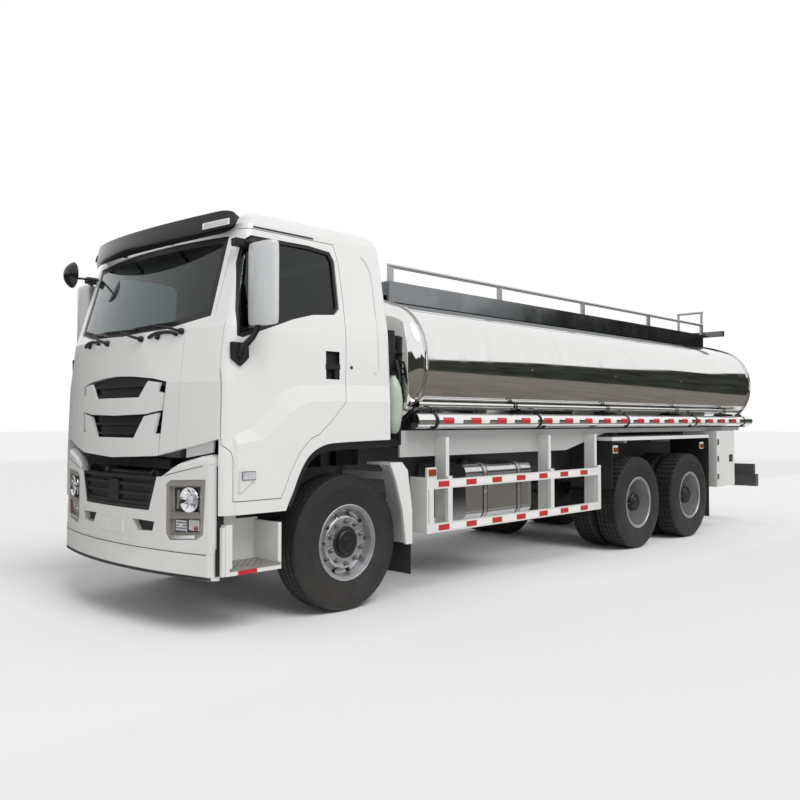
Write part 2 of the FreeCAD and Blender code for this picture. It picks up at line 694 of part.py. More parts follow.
engine = [box("engine_case", ("-320", "720"), ("-330", "330"), ("620", "1500"))]
engine.append(box("engine_mount", ("200", "270"), (f"-({RAIL_INNER})", RAIL_INNER),
                  (f"{RAIL_LOW} + 60", f"{RAIL_LOW} + 130")))
gearbox = box("gearbox", ("-1120", "-320"), ("-210", "210"), ("640", "1040"))
shaft_start, shaft_end = vector(-1120, 0, 780), vector(-number("wheelbase") + 334, 0, number("wheel_height") + 40)
shaft = Part.makeCylinder(55, (shaft_end - shaft_start).Length, shaft_start, shaft_end - shaft_start)
node(fused("engine_and_shaft", engine + [gearbox, shaped("shaft_tube", shaft)]))

# Axles and springs

beam = box("axle_beam", ("-45", "45"), ("-kingpin_side", "kingpin_side"), ("wheel_height - 90", "wheel_height + 10"))
bosses = []
for side in (1, -1):
    bosses.append(rod(f"kingpin_boss_{side + 1}", "z", ("0", f"{side} * kingpin_side", "wheel_height - 95"),
                      "190", "48"))
node(fused("front_axle", [beam] + bosses))
rear_axles = []
for index in range(2):
    x = f"-wheelbase - {index} * tandem"
    casing = rod(f"axle_casing_{index}", "y", (x, "-rear_outer_side - 20", "wheel_height"),
                 "2 * rear_outer_side + 40", "hub_bore - bearing_gap")
    banjo = rod(f"axle_banjo_{index}", "x", (f"{x} - 170", "0", "wheel_height"), f"500 - {index} * 160", "190")
    rear_axles.append(fused(f"rear_axle_{index}", [casing, banjo]))
node(gathered("rear_axles", rear_axles))

SPRING_Y = ("rail_out - 85", "rail_out - 5")
FRONT_LEAF = (
    ("-800", "rail_top - rail_depth"), ("-800", "rail_top - rail_depth - 40"), ("-300", "wheel_height + 70"),
    ("-80", "wheel_height + 10"), ("80", "wheel_height + 10"), ("300", "wheel_height + 70"),
    ("700", "rail_top - rail_depth - 40"), ("700", "rail_top - rail_depth"),
    ("250", "wheel_height + 115"), ("-250", "wheel_height + 115"),
)
front_leaf = prism("front_leaf", "XZ_Plane", FRONT_LEAF, *SPRING_Y)
MID = "-wheelbase - tandem / 2"
AXLE_TOP = "wheel_height + hub_bore - bearing_gap"
REAR_LEAF = (
    ("-wheelbase + 120", AXLE_TOP), ("-wheelbase + 120", f"{AXLE_TOP} + 40"),
    (f"{MID} + 200", "rail_top - rail_depth"),
    (f"{MID} - 200", "rail_top - rail_depth"), ("-wheelbase - tandem - 120", f"{AXLE_TOP} + 40"),
    ("-wheelbase - tandem - 120", AXLE_TOP), ("-wheelbase - tandem + 80", AXLE_TOP),
    (f"{MID} - 200", "rail_top - rail_depth - 120"), (f"{MID} + 200", "rail_top - rail_depth - 120"),
    ("-wheelbase - 80", AXLE_TOP),
)
rear_leaf = prism("rear_leaf", "XZ_Plane", REAR_LEAF, *SPRING_Y)
node(gathered("leaf_springs", [front_leaf, mirrored("front_leaf_right", front_leaf),
                               rear_leaf, mirrored("rear_leaf_right", rear_leaf)]))

# Wheels

TYRE = (
    ("-tyre_width / 2 + 25", "bead_radius"), ("-tyre_width / 2", "bead_radius + 110"),
    ("-tyre_width / 2 + 15", "tyre_radius - 35"), ("-tyre_width / 2 + 42", "tyre_radius"),
    ("tyre_width / 2 - 42", "tyre_radius"), ("tyre_width / 2 - 15", "tyre_radius - 35"),
    ("tyre_width / 2", "bead_radius + 110"), ("tyre_width / 2 - 25", "bead_radius"),
)


def rim_outline(flange, disc, hub_end):
    """Rim well, disc and hub, from the middle of the tyre outwards; flange is the half width."""
    rim = "bead_radius - bearing_gap"
    return (
        (f"-({flange})", rim), (flange, rim), (flange, f"{rim} - 18"), (f"{disc} + 12", f"{rim} - 40"),
        (f"{disc} + 12", "150"), (hub_end, "110"), (hub_end, "hub_bore"), ("-60", "hub_bore"), ("-60", "110"),
        (f"{disc}", "150"), (f"{disc}", f"{rim} - 40"), (f"-({flange})", f"{rim} - 18"),
    )


HALF_RIM = "tyre_width / 2 - 20"


def hand_holes(name, x, start, length):
    """Ring of rods that open the disc between its bolts and the rim."""
    rods = []
    for index in range(HAND_HOLES):
        turn = f"{index} * {360 // HAND_HOLES}"
        rods.append(rod(f"{name}_{index}", "y", (f"{x} + hand_circle * cos({turn})", start,
                                                 f"wheel_height + hand_circle * sin({turn})"), length, "hand_hole"))
    return gathered(f"{name}_set", rods)


for side, name in ((1, "left"), (-1, "right")):
    place = f"{side} * front_wheel_side"
    tyre = turned(f"tyre_front_{name}", TYRE, "0", place)
    node(tyre)
    rim = rim_outline(HALF_RIM, "tyre_width / 2 - 60", "tyre_width / 2 - 20")
    if side < 0:
        rim = tuple((f"-({along})", radius) for along, radius in rim)
    blank = turned(f"rim_blank_front_{name}", rim, "0", place)
    faces = [f"{side} * (front_wheel_side + tyre_width / 2 - {inset})" for inset in (75, 35)]
    low = min(faces, key=number)
    node(cut(f"rim_front_{name}", blank, hand_holes(f"front_hole_{name}", "0", low, "40")))
for index in range(2):
    for side, name in ((1, "left"), (-1, "right")):
        x = f"-wheelbase - {index} * tandem"
        outer = turned(f"tyre_outer_{index}_{name}", TYRE, x, f"{side} * rear_outer_side")
        inner = turned(f"tyre_inner_{index}_{name}", TYRE, x, f"{side} * (rear_outer_side - dual_pitch)")
        node(gathered(f"tyres_rear_{index + 1}_{name}", [outer, inner]))
        reach = "dual_pitch + tyre_width / 2 - 20"
        rim_radius = "bead_radius - bearing_gap"
        dual = (
            (f"-({reach})", rim_radius), (HALF_RIM, rim_radius), (HALF_RIM, f"{rim_radius} - 18"),
            ("-110", f"{rim_radius} - 40"), ("-110", "170"), ("60", "110"), ("60", "hub_bore"),
            ("-200", "hub_bore"), ("-200", "110"), ("-140", "170"), ("-140", f"{rim_radius} - 40"),
            (f"-({reach})", f"{rim_radius} - 18"),
        )
        if side < 0:
            dual = tuple((f"-({along})", radius) for along, radius in dual)
        blank = turned(f"rim_blank_{index}_{name}", dual, x, f"{side} * rear_outer_side")
        low = min((f"{side} * (rear_outer_side - 145)", f"{side} * (rear_outer_side - 105)"), key=number)
        node(cut(f"rim_rear_{index + 1}_{name}", blank, hand_holes(f"rear_hole_{index}_{name}", x, low, "40")))

# Steering knuckles

knuckle = [
    box("knuckle_plate", ("-60", "60"), ("kingpin_side + 55", "kingpin_side + 85"),
        ("wheel_height - 135", "wheel_height + 135")),
    box("knuckle_top", ("-50", "50"), ("kingpin_side - 50", "kingpin_side + 85"),
        ("wheel_height + 95 + seat_gap", "wheel_height + 135")),
    box("knuckle_bottom", ("-50", "50"), ("kingpin_side - 50", "kingpin_side + 85"),
        ("wheel_height - 135", "wheel_height - 95 - seat_gap")),
    rod("knuckle_spindle", "y", ("0", "kingpin_side + 60", "wheel_height"), "front_wheel_side - kingpin_side + 40",
        "hub_bore - bearing_gap"),
]
knuckle_left = node(fused("knuckle_left", knuckle))
node(mirrored("knuckle_right", knuckle_left))

# Rear underrun bar with lamp blocks

bar = box("underrun_bar", ("rail_rear - 150", "rail_rear - 50"), ("-half_width + 25", "half_width - 25"),
          ("underrun_low", "underrun_high"))
under = [bar]
for side in (1, -1):
    span = sorted((f"{side} * (rail_out - rail_flange)", f"{side} * rail_out"), key=number)
    under.append(box(f"underrun_arm_{side + 1}", ("rail_rear - 80", "rail_rear + 90"), span,
                     ("underrun_low + 40", RAIL_LOW)))
    span = sorted((f"{side} * 780", f"{side} * 1180"), key=number)
    under.append(box(f"tail_lamp_{side + 1}", ("rail_rear - 140", "rail_rear - 60"), span,
                     ("underrun_high", "underrun_high + 150")))
node(fused("rear_underrun", under))
node(outlet_left)

# Front bumper

def box_solid(x, y, z):
    """Plain block from spans, for cutting."""
    return Part.makeBox(x[1] - x[0], y[1] - y[0], z[1] - z[0], vector(x[0], y[0], z[0]))


def across(shape):
    """Shape with its mirror image."""
    return [shape, shape.mirror(vector(0, 0, 0), vector(0, 1, 0))]


gap = number("seat_gap")


def corner_plan(nose, half, rear, corner, z, back_corner=0):
    """Closed plan at one height: shallow front arc, rounded front corners, straight sides and the rear."""
    bow = number("cab_bow")
    centre = nose - bow
    across_corner = half - corner
    along_corner = centre + math.sqrt((bow - corner) ** 2 - across_corner ** 2)
    reach = bow / (bow - corner)
    touch_x = centre + (along_corner - centre) * reach
    touch_y = across_corner * reach
    lean = math.atan2(touch_y - across_corner, touch_x - along_corner)
    middle = (lean + math.pi / 2) / 2
    round_x = along_corner + corner * math.cos(middle)
    round_y = across_corner + corner * math.sin(middle)
    left, right = vector(touch_x, touch_y, z), vector(touch_x, -touch_y, z)
    side_left, side_right = vector(along_corner, half, z), vector(along_corner, -half, z)
    turn_left, turn_right = vector(rear + back_corner, half, z), vector(rear + back_corner, -half, z)
    edges = [
        Part.Arc(side_left, vector(round_x, round_y, z), left).toShape(),
        Part.Arc(left, vector(nose, 0, z), right).toShape(),
        Part.Arc(right, vector(round_x, -round_y, z), side_right).toShape(),
        Part.LineSegment(side_right, turn_right).toShape(),
    ]
    back_left, back_right = turn_left, turn_right
    if back_corner:
        inner = back_corner * (1 - math.sqrt(0.5))
        back_left, back_right = vector(rear, half - back_corner, z), vector(rear, back_corner - half, z)
        edges.append(Part.Arc(turn_right, vector(rear + inner, inner - half, z), back_right).toShape())
    edges.append(Part.LineSegment(back_right, back_left).toShape())
    if back_corner:
        edges.append(Part.Arc(back_left, vector(rear + inner, half - inner, z), turn_left).toShape())
    edges.append(Part.LineSegment(turn_left, side_left).toShape())
    return edges


def corner_prism(nose, half, rear, corner, low, high):
    """Plan with rounded front corners raised from low to high."""
    return Part.Face(Part.Wire(corner_plan(nose, half, rear, corner, low))).extrude(vector(0, 0, high - low))


def bumper_layer(inset, low, high, proud=0):
    """Layer of the bumper's outer form, set in from the nose and the sides."""
    corner = max(number("bumper_corner") - inset, 20)
    return corner_prism(number("bumper_nose - lip_proud") - inset + proud, number("bumper_half") - inset,
                        number("bumper_rear"), corner, low, high)


def yz_prism(outline, low, high):
    """Outline in Y and Z drawn along the truck from x low to high."""
    points = [vector(low, y, z) for y, z in outline]
    return Part.Face(Part.makePolygon(points + [points[0]])).extrude(vector(high - low, 0, 0))


wide = number("half_width") + 200
wall = number("bumper_wall")
top, bottom, lip_top = number("bumper_top"), number("bumper_bottom"), number("lip_top")


def seam_height(y):
    """Height of the bumper's upper edge, which rises towards the sides."""
    spots = ((0, top), (640, top), (675, top + 17), (995, top + 88), (1175, top + 121))
    for (y_low, z_low), (y_high, z_high) in zip(spots, spots[1:]):
        if y <= y_high:
            return z_low + (z_high - z_low) * (y - y_low) / (y_high - y_low)
    return spots[-1][1]


def bumper_face(y):
    """Front of the bumper at a distance from its middle."""
    nose, corner, bow = number("bumper_nose - lip_proud"), number("bumper_corner"), number("cab_bow")
    edge = number("bumper_half") - corner
    if y < edge:
        return nose - bow + math.sqrt(bow ** 2 - y ** 2)
    centre = nose - bow + math.sqrt((bow - corner) ** 2 - edge ** 2)
    return centre + math.sqrt(corner ** 2 - (y - edge) ** 2)


def inset_prism(outline, low, high, inset):
    """Outline in Y and Z set in evenly, from x low to high."""
    points = [vector(low, y, z) for y, z in outline]
    wire = Part.makePolygon(points + [points[0]]).makeOffset2D(-inset)
    return Part.Face(wire).extrude(vector(high - low, 0, 0))


edge_top = seam_height(number("bumper_half"))
bumper = bumper_layer(0, lip_top, edge_top).fuse(bumper_layer(0, bottom, lip_top, number("lip_proud")))
bumper = bumper.cut(bumper_layer(wall, bottom - 1, edge_top + 1))
seam = [(y, seam_height(y)) for y in (640, 675, 995, 1300)]
above_seam = yz_prism(seam + [(1300, 1500), (-1300, 1500)] + [(-y, z) for y, z in seam[::-1]], 1000, 1500)
behind_end = box_solid((1100, number("bumper_end")), (1100, wide), (bottom - 1, 1400))
LOWER_GRILLE = ((-592, 1101), (-585, 1085), (-500, 850), (500, 850), (585, 1085), (592, 1101))
grille_hole = yz_prism(LOWER_GRILLE, 1000, 1500)
lamp_in, lamp_out = number("lamp_in"), number("lamp_out")
lamp_low, lamp_high = number("lamp_low"), number("lamp_high")
lamp_outline = ((lamp_in, lamp_low + 45), (lamp_in, lamp_high - 50), (lamp_in + 50, lamp_high - 15),
                (lamp_out, lamp_high), (lamp_out - 20, lamp_low + 60), (lamp_out - 80, lamp_low + 22),
                (lamp_in + 36, lamp_low))
lamp_hole = yz_prism(lamp_outline, 1000, 1500)
INTAKE = ((284, 778), (566, 772), (545, 703), (345, 694))
intake = yz_prism(INTAKE, 1000, 1500)
bumper = bumper.cut([above_seam, grille_hole] + across(behind_end) + across(lamp_hole) + across(intake))
arms = [box_solid((number("rail_front") + gap, 1350), (start, start + 60), (790, 845)) for start in (360, -420)]
pad_height, pad_face = number("plate_height"), number("bumper_nose") - 2
arms.append(box_solid((1330, pad_face), (-165, 165), (pad_height - 55, pad_height + 50)))
bumper = bumper.fuse(arms)
holes = [Part.makeCylinder(number("plate_hole"), 200, vector(1300, side * number("plate_pitch") / 2, pad_height),
                           vector(1, 0, 0)) for side in (1, -1)]
shoulder_sections = []
for y, rise in ((672, 12), (720, 40), (800, 62), (995, 66), (1090, 64), (1138, 46), (1155, 16)):
    front, seat = bumper_face(y) - 1.5, seam_height(y)
    rear = front - number("shoulder_depth")
    points = [(rear, seat - 20), (front, seat - 20), (front, seat), (front - 5, seat + 0.45 * rise),
              (front - 20, seat + 0.82 * rise), (front - 44, seat + rise), (rear, seat + rise)]
    shoulder_sections.append(Part.makePolygon([vector(x, y, z) for x, z in points + points[:1]]))
shoulder = Part.makeLoft(shoulder_sections, True, True)
node(shaped("bumper", bumper.cut(holes).fuse(across(shoulder)).removeSplitter()))
depth = wall - 8
slats = [bumper_layer(30, 850, top - 2).cut(bumper_layer(depth, 800, 1200))]
for index in range(3):
    low = 880 + index * 68
    slats.append(bumper_layer(12, low, low + 26).cut(bumper_layer(depth, 800, 1200)))
middle_block = box_solid((1000, 1500), (-75, 75), (800, 1200))
slats.append(bumper_layer(6, 900, 1060).cut(bumper_layer(depth, 800, 1200)).common(middle_block))
frame = bumper_layer(2, 850, top - 2).cut(bumper_layer(depth, 800, 1200)).cut(
    yz_prism(((-558, 1074), (-478, 878), (478, 878), (558, 1074)), 1000, 1500))
insert = slats[0].fuse(slats[1:] + [frame]).common(inset_prism(LOWER_GRILLE, 1000, 1500, gap))
intake_back = bumper_layer(wall + gap, 684, 786).cut(bumper_layer(wall + 8, 600, 800)).common(
    box_solid((1000, 1500), (268, 582), (600, 800)))
intake_back = intake_back.cut(box_solid((1000, 1360), (350, 430), (780, 850)))
node(shaped("bumper_grille", Part.makeCompound([single(insert)] + across(single(intake_back)))))
lamp_shell = bumper_layer(6, lamp_low, lamp_high).cut(bumper_layer(wall - 5, 600, 1200))
lamp_well = yz_prism(((lamp_in + 32, 850), (lamp_in + 32, 1036), (lamp_out - 50, 1052), (lamp_out - 57, 866)),
                     1000, 1500)
lower_well = yz_prism(((lamp_in + 34, 690), (lamp_in + 34, 805), (lamp_out - 50, 830), (lamp_out - 57, 711)),
                      1000, 1500)
lamp_plate = bumper_layer(30, lamp_low, lamp_high).cut(bumper_layer(wall - 5, 600, 1200))
lamp = lamp_shell.cut([lamp_well, lower_well]).fuse(lamp_plate).common(inset_prism(lamp_outline, 1000, 1500, gap))
node(shaped("headlamps", Part.makeCompound(across(single(lamp)))))

# Cab steps and the guards behind the front wheels

step = [box("step_floor", ("705", "1180"), ("900", "1222"), ("432", "480")),
        box("step_back", ("705", "1180"), ("900", "930"), ("480", "785")),
        box("step_rear", ("705", "733"), ("930", "1222"), ("480", "768")),
        box("step_front", ("1128", "1180"), ("930", "1222"), ("480", "785")),
        box("step_nose", ("1180", "1204"), ("1183", "1214"), ("432", "770")),
        box("step_hanger", ("900", "1000"), ("900", "930"), ("785", "900")),
        box("step_arm", ("900", "1000"), ("rail_out", "900"), ("840", "900"))]
GUARD = (("-400", "1160"), ("-540", "1160"), ("-610", "1090"), ("-665", "750"), ("-665", "470"), ("-590", "470"),
         ("-550", "760"), ("-470", "1010"))
SHEET = (("-400", "1160"), ("-540", "1160"), ("-610", "1090"), ("-665", "750"), ("-665", "470"), ("-645", "470"),
         ("-645", "750"), ("-595", "1080"), ("-535", "1140"), ("-400", "1140"))
guard_face = prism("quarter_face", "XZ_Plane", GUARD, "1215", "1240")
guard_sheet = prism("quarter_sheet", "XZ_Plane", SHEET, "960", "1215")
guard_arm = box("quarter_arm", ("-660", "-600"), ("rail_out", "965"), ("1000", "1060"))
cab_step = fused("cab_step", step)
quarter = fused("quarter_guard", [guard_face, guard_sheet, guard_arm])
node(gathered("cab_steps", [cab_step, mirrored("cab_step_right", cab_step), quarter,
                            mirrored("quarter_guard_right", quarter)]))

# Cab: one master form, hollowed and split where the panels meet

def cab_form(inset):
    """Solid cab form set in evenly by the inset."""
    nose, half, rear, top = (number(name) for name in ("cab_nose", "cab_half", "cab_rear", "roof_top"))
    levels = (
        (number("cab_bottom") - (1 if inset > 0 else 0), 0, 0, 0), (1250, 0, 0, 0), (1780, 20, 0, 10),
        (2165, 65, 5, 25), (2260, 95, 12, 28), (2850, 265, 85, 60), (top - 120, 300, 100, 68),
        (top - 60, 350, 130, 90), (top - 20, 420, 185, 140), (top, 520, 270, 220),
    )
    corner = max(number("cab_corner") - inset, 20)
    back_corner = max(number("cab_back_corner") - inset, 10)
    wires = []
    for z, lean, narrow, back in levels:
        height = z - inset if z > 2900 else z
        wires.append(Part.Wire(corner_plan(nose - lean - inset, half - narrow - inset, rear + back + inset, corner,
                                           height, back_corner)))
    return Part.makeLoft(wires, True, True)


def side_prism(outline, low, high, offset=0):
    """Outline in X and Z drawn across the cab from y low to high."""
    points = [vector(x, low, z) for x, z in outline]
    wire = Part.makePolygon(points + [points[0]])
    if offset:
        wire = wire.makeOffset2D(offset)
    return Part.Face(wire).extrude(vector(0, high - low, 0))


DOOR = (
    (1133, 940), (1133, 1235), (1150, 1285), (1184, 1314), (1212, 1335), (1214, 1400), (1206, 1650),
    (1200, 1990), (1196, 2270), (1128, 2610), (1035, 2900), (140, 2900), (100, 2760), (80, 2460), (72, 2060),
    (80, 1790), (90, 1650), (230, 1510), (360, 1400), (440, 1370), (545, 1275), (640, 1117), (696, 993),
    (724, 940),
)
WINDOW = (
    (990, 2800), (1040, 2630), (1100, 2280), (1100, 2100), (1050, 2090), (860, 2160), (590, 2260), (400, 2310),
    (180, 2330), (130, 2380), (140, 2760), (180, 2830), (400, 2850), (930, 2845),
)
ARCH = ((-460, 840), (-460, 1350), (80, 1340), (310, 1330), (460, 1255), (549, 1130), (608, 995), (664, 888),
        (682, 840))
FLARE_SEAT = (
    (1125, 1400), (980, 1450), (820, 1600), (710, 1710), (550, 1770), (100, 1790), (-395, 1790), (-395, 1350),
    (80, 1340), (310, 1330), (460, 1255), (549, 1130), (608, 995), (664, 888), (680, 850), (1125, 850),
)
FLARE_FACE = (
    (1105, 1340), (880, 1370), (780, 1440), (640, 1570), (450, 1650), (100, 1660), (-395, 1660), (-395, 1350),
    (80, 1340), (310, 1330), (460, 1255), (549, 1130), (608, 995), (664, 888), (680, 850), (1105, 850),
)
BELOW_NOSE = (
    (0, 1225), (570, 1248), (816, 1299), (1185, 1380), (1185, 800), (-1185, 800), (-1185, 1380), (-816, 1299),
    (-570, 1248),
)
WINDSCREEN = ((0, 2160), (600, 2180), (1015, 2250), (990, 2850), (-990, 2850), (-1015, 2250), (-600, 2180))
NOSE_PANEL = ((0, 1100), (1185, 1100), (1185, 2250), (1015, 2250), (600, 2180), (0, 2160), (-600, 2180),
              (-1015, 2250), (-1185, 2250), (-1185, 1100))
GRILLE_HOLE = ((-598, 1200), (-660, 1790), (-500, 1818), (-250, 1840), (0, 1850), (250, 1840), (500, 1818),
               (660, 1790), (598, 1200))
COWL_SEAM = 800

cab_skin_depth, door_depth = number("cab_wall"), number("door_wall")
side, flare_side = number("cab_half"), number("half_width")


def polygon(outline, y):
    """Closed wire in X and Z at one y."""
    points = [vector(x, y, z) for x, z in outline]
    return Part.makePolygon(points + [points[0]])


flare = Part.makeLoft([polygon(FLARE_SEAT, side), polygon(FLARE_FACE, flare_side)], True, True)
flare = flare.fuse(Part.Face(polygon(FLARE_SEAT, side - 48)).extrude(vector(0, 48, 0)))
body_form = cab_form(0).fuse(across(flare))
outer_clear = cab_form(-gap)
inner_form = cab_form(cab_skin_depth)
cab_skin = body_form.cut(inner_form)
below_nose = yz_prism(BELOW_NOSE, 1000, 1600)


def door_zone(clearance):
    """Space outside the pillars that the left door takes up."""
    low = box_solid((0, 1600), (number("door_inner") + clearance, wide), (900, 2200))
    return low.fuse(box_solid((0, 1600), (1045 + clearance, wide), (2200, 3000)))


door_hole = side_prism(DOOR, 900, wide).common(door_zone(0))
window_hole = side_prism(WINDOW, 900, wide)
screen_hole = yz_prism(WINDSCREEN, 600, 1600)
nose_zone = yz_prism(NOSE_PANEL, 1000, 1600)
roof_zone = box_solid((-900, 1600), (-wide, wide), (2901, 3200)).fuse(
    box_solid((700, 1600), (-990, 990), (2850, 3200)))
rear_zone = box_solid((-900, -300), (-1080, 1080), (1300, 2901))
arch_hole = side_prism(ARCH, -wide, wide)

frame_skin = cab_skin.cut(across(door_hole) + [arch_hole, below_nose])
roof = frame_skin.common(roof_zone)
rear_wall = frame_skin.cut(roof_zone).common(rear_zone)
cowl_groove = cab_form(0).cut(cab_form(7)).common(
    box_solid((1000, 1600), (COWL_SEAM - 2.5, COWL_SEAM + 2.5), (1200, 2160)))
nose_panel = frame_skin.common(nose_zone).cut([yz_prism(GRILLE_HOLE, 1000, 1600)] + across(cowl_groove))
sides = frame_skin.cut([roof_zone, rear_zone, nose_zone, screen_hole])
side_left = sides.common(box_solid((-900, 1600), (900, wide), (800, 3200)))
sill_low = number("cab_bottom")
side_left = side_left.fuse(box_solid((735, 1135), (1040, side - 20), (sill_low + 12, sill_low + 34)))
screen = cab_form(12).cut(cab_form(20)).common(screen_hole)


node(shaped("cab_roof", single(roof)))
node(shaped("cab_rear_wall", single(rear_wall)))
left_parts = sorted(side_left.Solids, key=lambda solid: -solid.Volume)[:2]
node(shaped("cab_sides", Part.makeCompound(
    left_parts + [piece.mirror(vector(0, 0, 0), vector(0, 1, 0)) for piece in left_parts])))
node(shaped("windscreen", single(screen)))

door_space = body_form.cut(cab_form(door_depth)).common(door_zone(number("panel_gap")))
door_panel = single(door_space.common(side_prism(DOOR, 900, wide, -number("panel_gap"))).cut(window_hole))
recess = box_solid((145, 285), (side - 30, wide), (1825, 2042))
grip = box_solid((140, 290), (side - 34, side - 2), (1905, 1940)).fuse(
    box_solid((160, 195), (side - 34, side - 2), (1830, 1940)))
door_panel = single(door_panel.cut(recess).fuse(grip).removeSplitter())
glass = single(cab_form(22).cut(cab_form(22 + number("glass_wall"))).common(
    side_prism(WINDOW, 900, wide, -gap)).common(door_zone(number("panel_gap"))))
for name, panel, pane in zip(("left", "right"), across(door_panel), across(glass)):
    node(shaped(f"door_{name}", panel))
    node(shaped(f"door_glass_{name}", pane))

# Cab floor with the engine tunnel and the pivot lugs

FLOOR = (
    (-430, 1370), (350, 1370), (700, 1030), (1100, 1030), (1100, 1270), (1130, 1270), (1130, 1000), (690, 1000),
    (340, 1340), (-430, 1340),
)
tunnel_side, tunnel_top = number("tunnel_half"), number("tunnel_top")
pan = side_prism(FLOOR, tunnel_side - 30, 1110)
tunnel = box_solid((-430, 1000), (-tunnel_side, tunnel_side), (1340, tunnel_top))
tunnel = tunnel.cut(box_solid((-430, 970), (30 - tunnel_side, tunnel_side - 30), (1300, tunnel_top - 30)))
cheek = side_prism(((340, 1340), (1000, 1340), (1000, 1000), (690, 1000)), tunnel_side - 30, tunnel_side)
firewall = box_solid((1000, 1040), (-1110, 1110), (1030, 1640)).cut(box_solid((900, 1100), (-470, 470), (1000, 1300)))
cross = box_solid((1110, 1270), (-780, 780), (1240, 1280))
cross = cross.fuse(across(box_solid((1110, 1340), (640, 780), (1240, 1310))))
lug = Part.makeCylinder(45, 35, vector(number("pivot_x"), 340, number("pivot_height")), vector(0, 1, 0))
lug = lug.fuse(box_solid((number("pivot_x") - 40, number("pivot_x") + 5), (340, 375), (number("pivot_height"), 1250)))
lug = lug.cut(Part.makeCylinder(number("pivot_radius + bearing_gap"), 50, vector(number("pivot_x"), 330,
                                                                                number("pivot_height")),
                                vector(0, 1, 0)))
shoulder_room = Part.makeCylinder(195, 500, vector(number("pivot_x"), 785, number("pivot_height")),
                                  vector(0, 1, 0))
floor_shape = pan.fuse(across(pan)[1:] + [tunnel, cross, firewall] + across(cheek) + across(lug))
floor_shape = floor_shape.cut(across(shoulder_room))
floor_zone = cab_form(cab_skin_depth + gap)
node(shaped("cab_floor", single(floor_shape.common(floor_zone)).removeSplitter()))

# Cab front grille, visor, interior and mirrors


def nose_layer(outer, inner, low, high):
    """Skin over the cab's nose between two insets."""
    return cab_form(outer).cut(cab_form(inner)).common(box_solid((1000, 1600), (-wide, wide), (low, high)))


UPPER_WING = ((-614, 1580), (-635, 1708), (-566, 1722), (-591, 1784), (-455, 1800), (-347, 1680), (347, 1680),
              (455, 1800), (591, 1784), (566, 1722), (635, 1708), (614, 1580), (430, 1555), (0, 1545),
              (-430, 1555))
LOWER_WING = ((-590, 1562), (-423, 1538), (-301, 1377), (301, 1377), (423, 1538), (590, 1562), (545, 1407),
              (603, 1412), (592, 1200), (-592, 1200), (-603, 1412), (-545, 1407))
skin = cab_skin_depth
backing = nose_layer(skin + gap, skin + 7, 1256, 1870).common(inset_prism(GRILLE_HOLE, 1000, 1600, -22))
slats = [backing]
for index in range(7):
    low = 1330 + 72 * index
    slats.append(nose_layer(16, skin + 5, low, low + 16).common(inset_prism(GRILLE_HOLE, 1000, 1600, 8)))
slats.append(nose_layer(16, skin + 5, 1260, 1300).common(inset_prism(GRILLE_HOLE, 1000, 1600, 8)))
insert = single(slats[0].fuse(slats[1:]).removeSplitter()).cut(floor_shape.common(floor_zone))
band = box_solid((1230, 1260), (-630, 630), (1150, 1224))
band = band.fuse(box_solid((1225, 1262), (-20, 20), (1224, 1240)))
node(shaped("front_grille", Part.makeCompound([single(insert), band])))
wings = []
for outline in (UPPER_WING, LOWER_WING):
    shield = nose_layer(-8, 15.5, 1200, 1850).common(yz_prism(outline, 1000, 1600))
    wings.append(single(shield.cut([insert, below_nose])))
recess_outline = ((815, 1240), (995, 1268), (1070, 1282), (1070, 1400), (815, 1400))
recess_wall = nose_layer(66, 80, 1230, 1400).fuse(nose_layer(skin - 5, 80, 1388, 1400)).common(
    yz_prism(recess_outline, 1000, 1600))
panel = single(nose_panel.cut(wings).fuse(across(recess_wall)))
node(shaped("cab_front", Part.makeCompound([panel] + wings)))
visor_line = ((2115, 2838), (2108, 2890), (2085, 2950), (2055, 3005), (2041, 3005), (2071, 2950), (2094, 2890),
              (2101, 2838))
visor_middle = -800
visor_face = Part.Face(Part.makePolygon([vector(visor_middle + r, 0, z) for r, z in visor_line + visor_line[:1]]))
visor = visor_face.revolve(vector(visor_middle, 0, 0), vector(0, 0, 1), 31.2)
visor = visor.fuse(across(visor)[1]).removeSplitter()
visor.rotate(vector(1150, 0, 2900), vector(0, 1, 0), 15)
stays = [box_solid((1060, 1262), (350, 380), (2858, 2884)), box_solid((900, 1036), (985, 1015), (2925, 2950))]
visor = visor.fuse([copy for stay in stays for copy in across(stay)]).cut(outer_clear)
node(shaped("sun_visor", single(visor)))

dash = box_solid((760, 1060), (-1110, 1110), (1640 + gap, 2080))
hub, slope = vector(520, 520, 2010), vector(-0.78, 0, 0.626)
column = Part.makeCylinder(30, 360, hub - slope * 360, slope)
steering = [Part.makeTorus(225, 16, hub, slope),
            Part.makeCylinder(12, 440, hub - vector(0, 220, 0), vector(0, 1, 0)),
            Part.makeCylinder(12, 220, hub, vector(-0.626, 0, -0.78)),
            Part.makeCylinder(45, 40, hub - slope * 20, slope)]
dash = dash.common(inner_form).fuse([column] + steering)
node(shaped("dashboard", single(dash)))
cushion = box_solid((-60, 450), (300, 820), (1620, 1760))
pedestal = box_solid((20, 340), (540, 780), (number("floor_height + seat_gap"), 1620))
back = side_prism(((-60, 1740), (-190, 2420), (-60, 2420), (60, 1740)), 310, 810)
seat = cushion.fuse([pedestal, back])
bunk = box_solid((-370, -240), (-1050, 1050), (1700, 1840))
bunk = bunk.fuse(box_solid((-370, -260), (-480, 480), (number("tunnel_top + seat_gap"), 1700))).common(inner_form)
node(shaped("seats", Part.makeCompound(across(seat) + [bunk])))

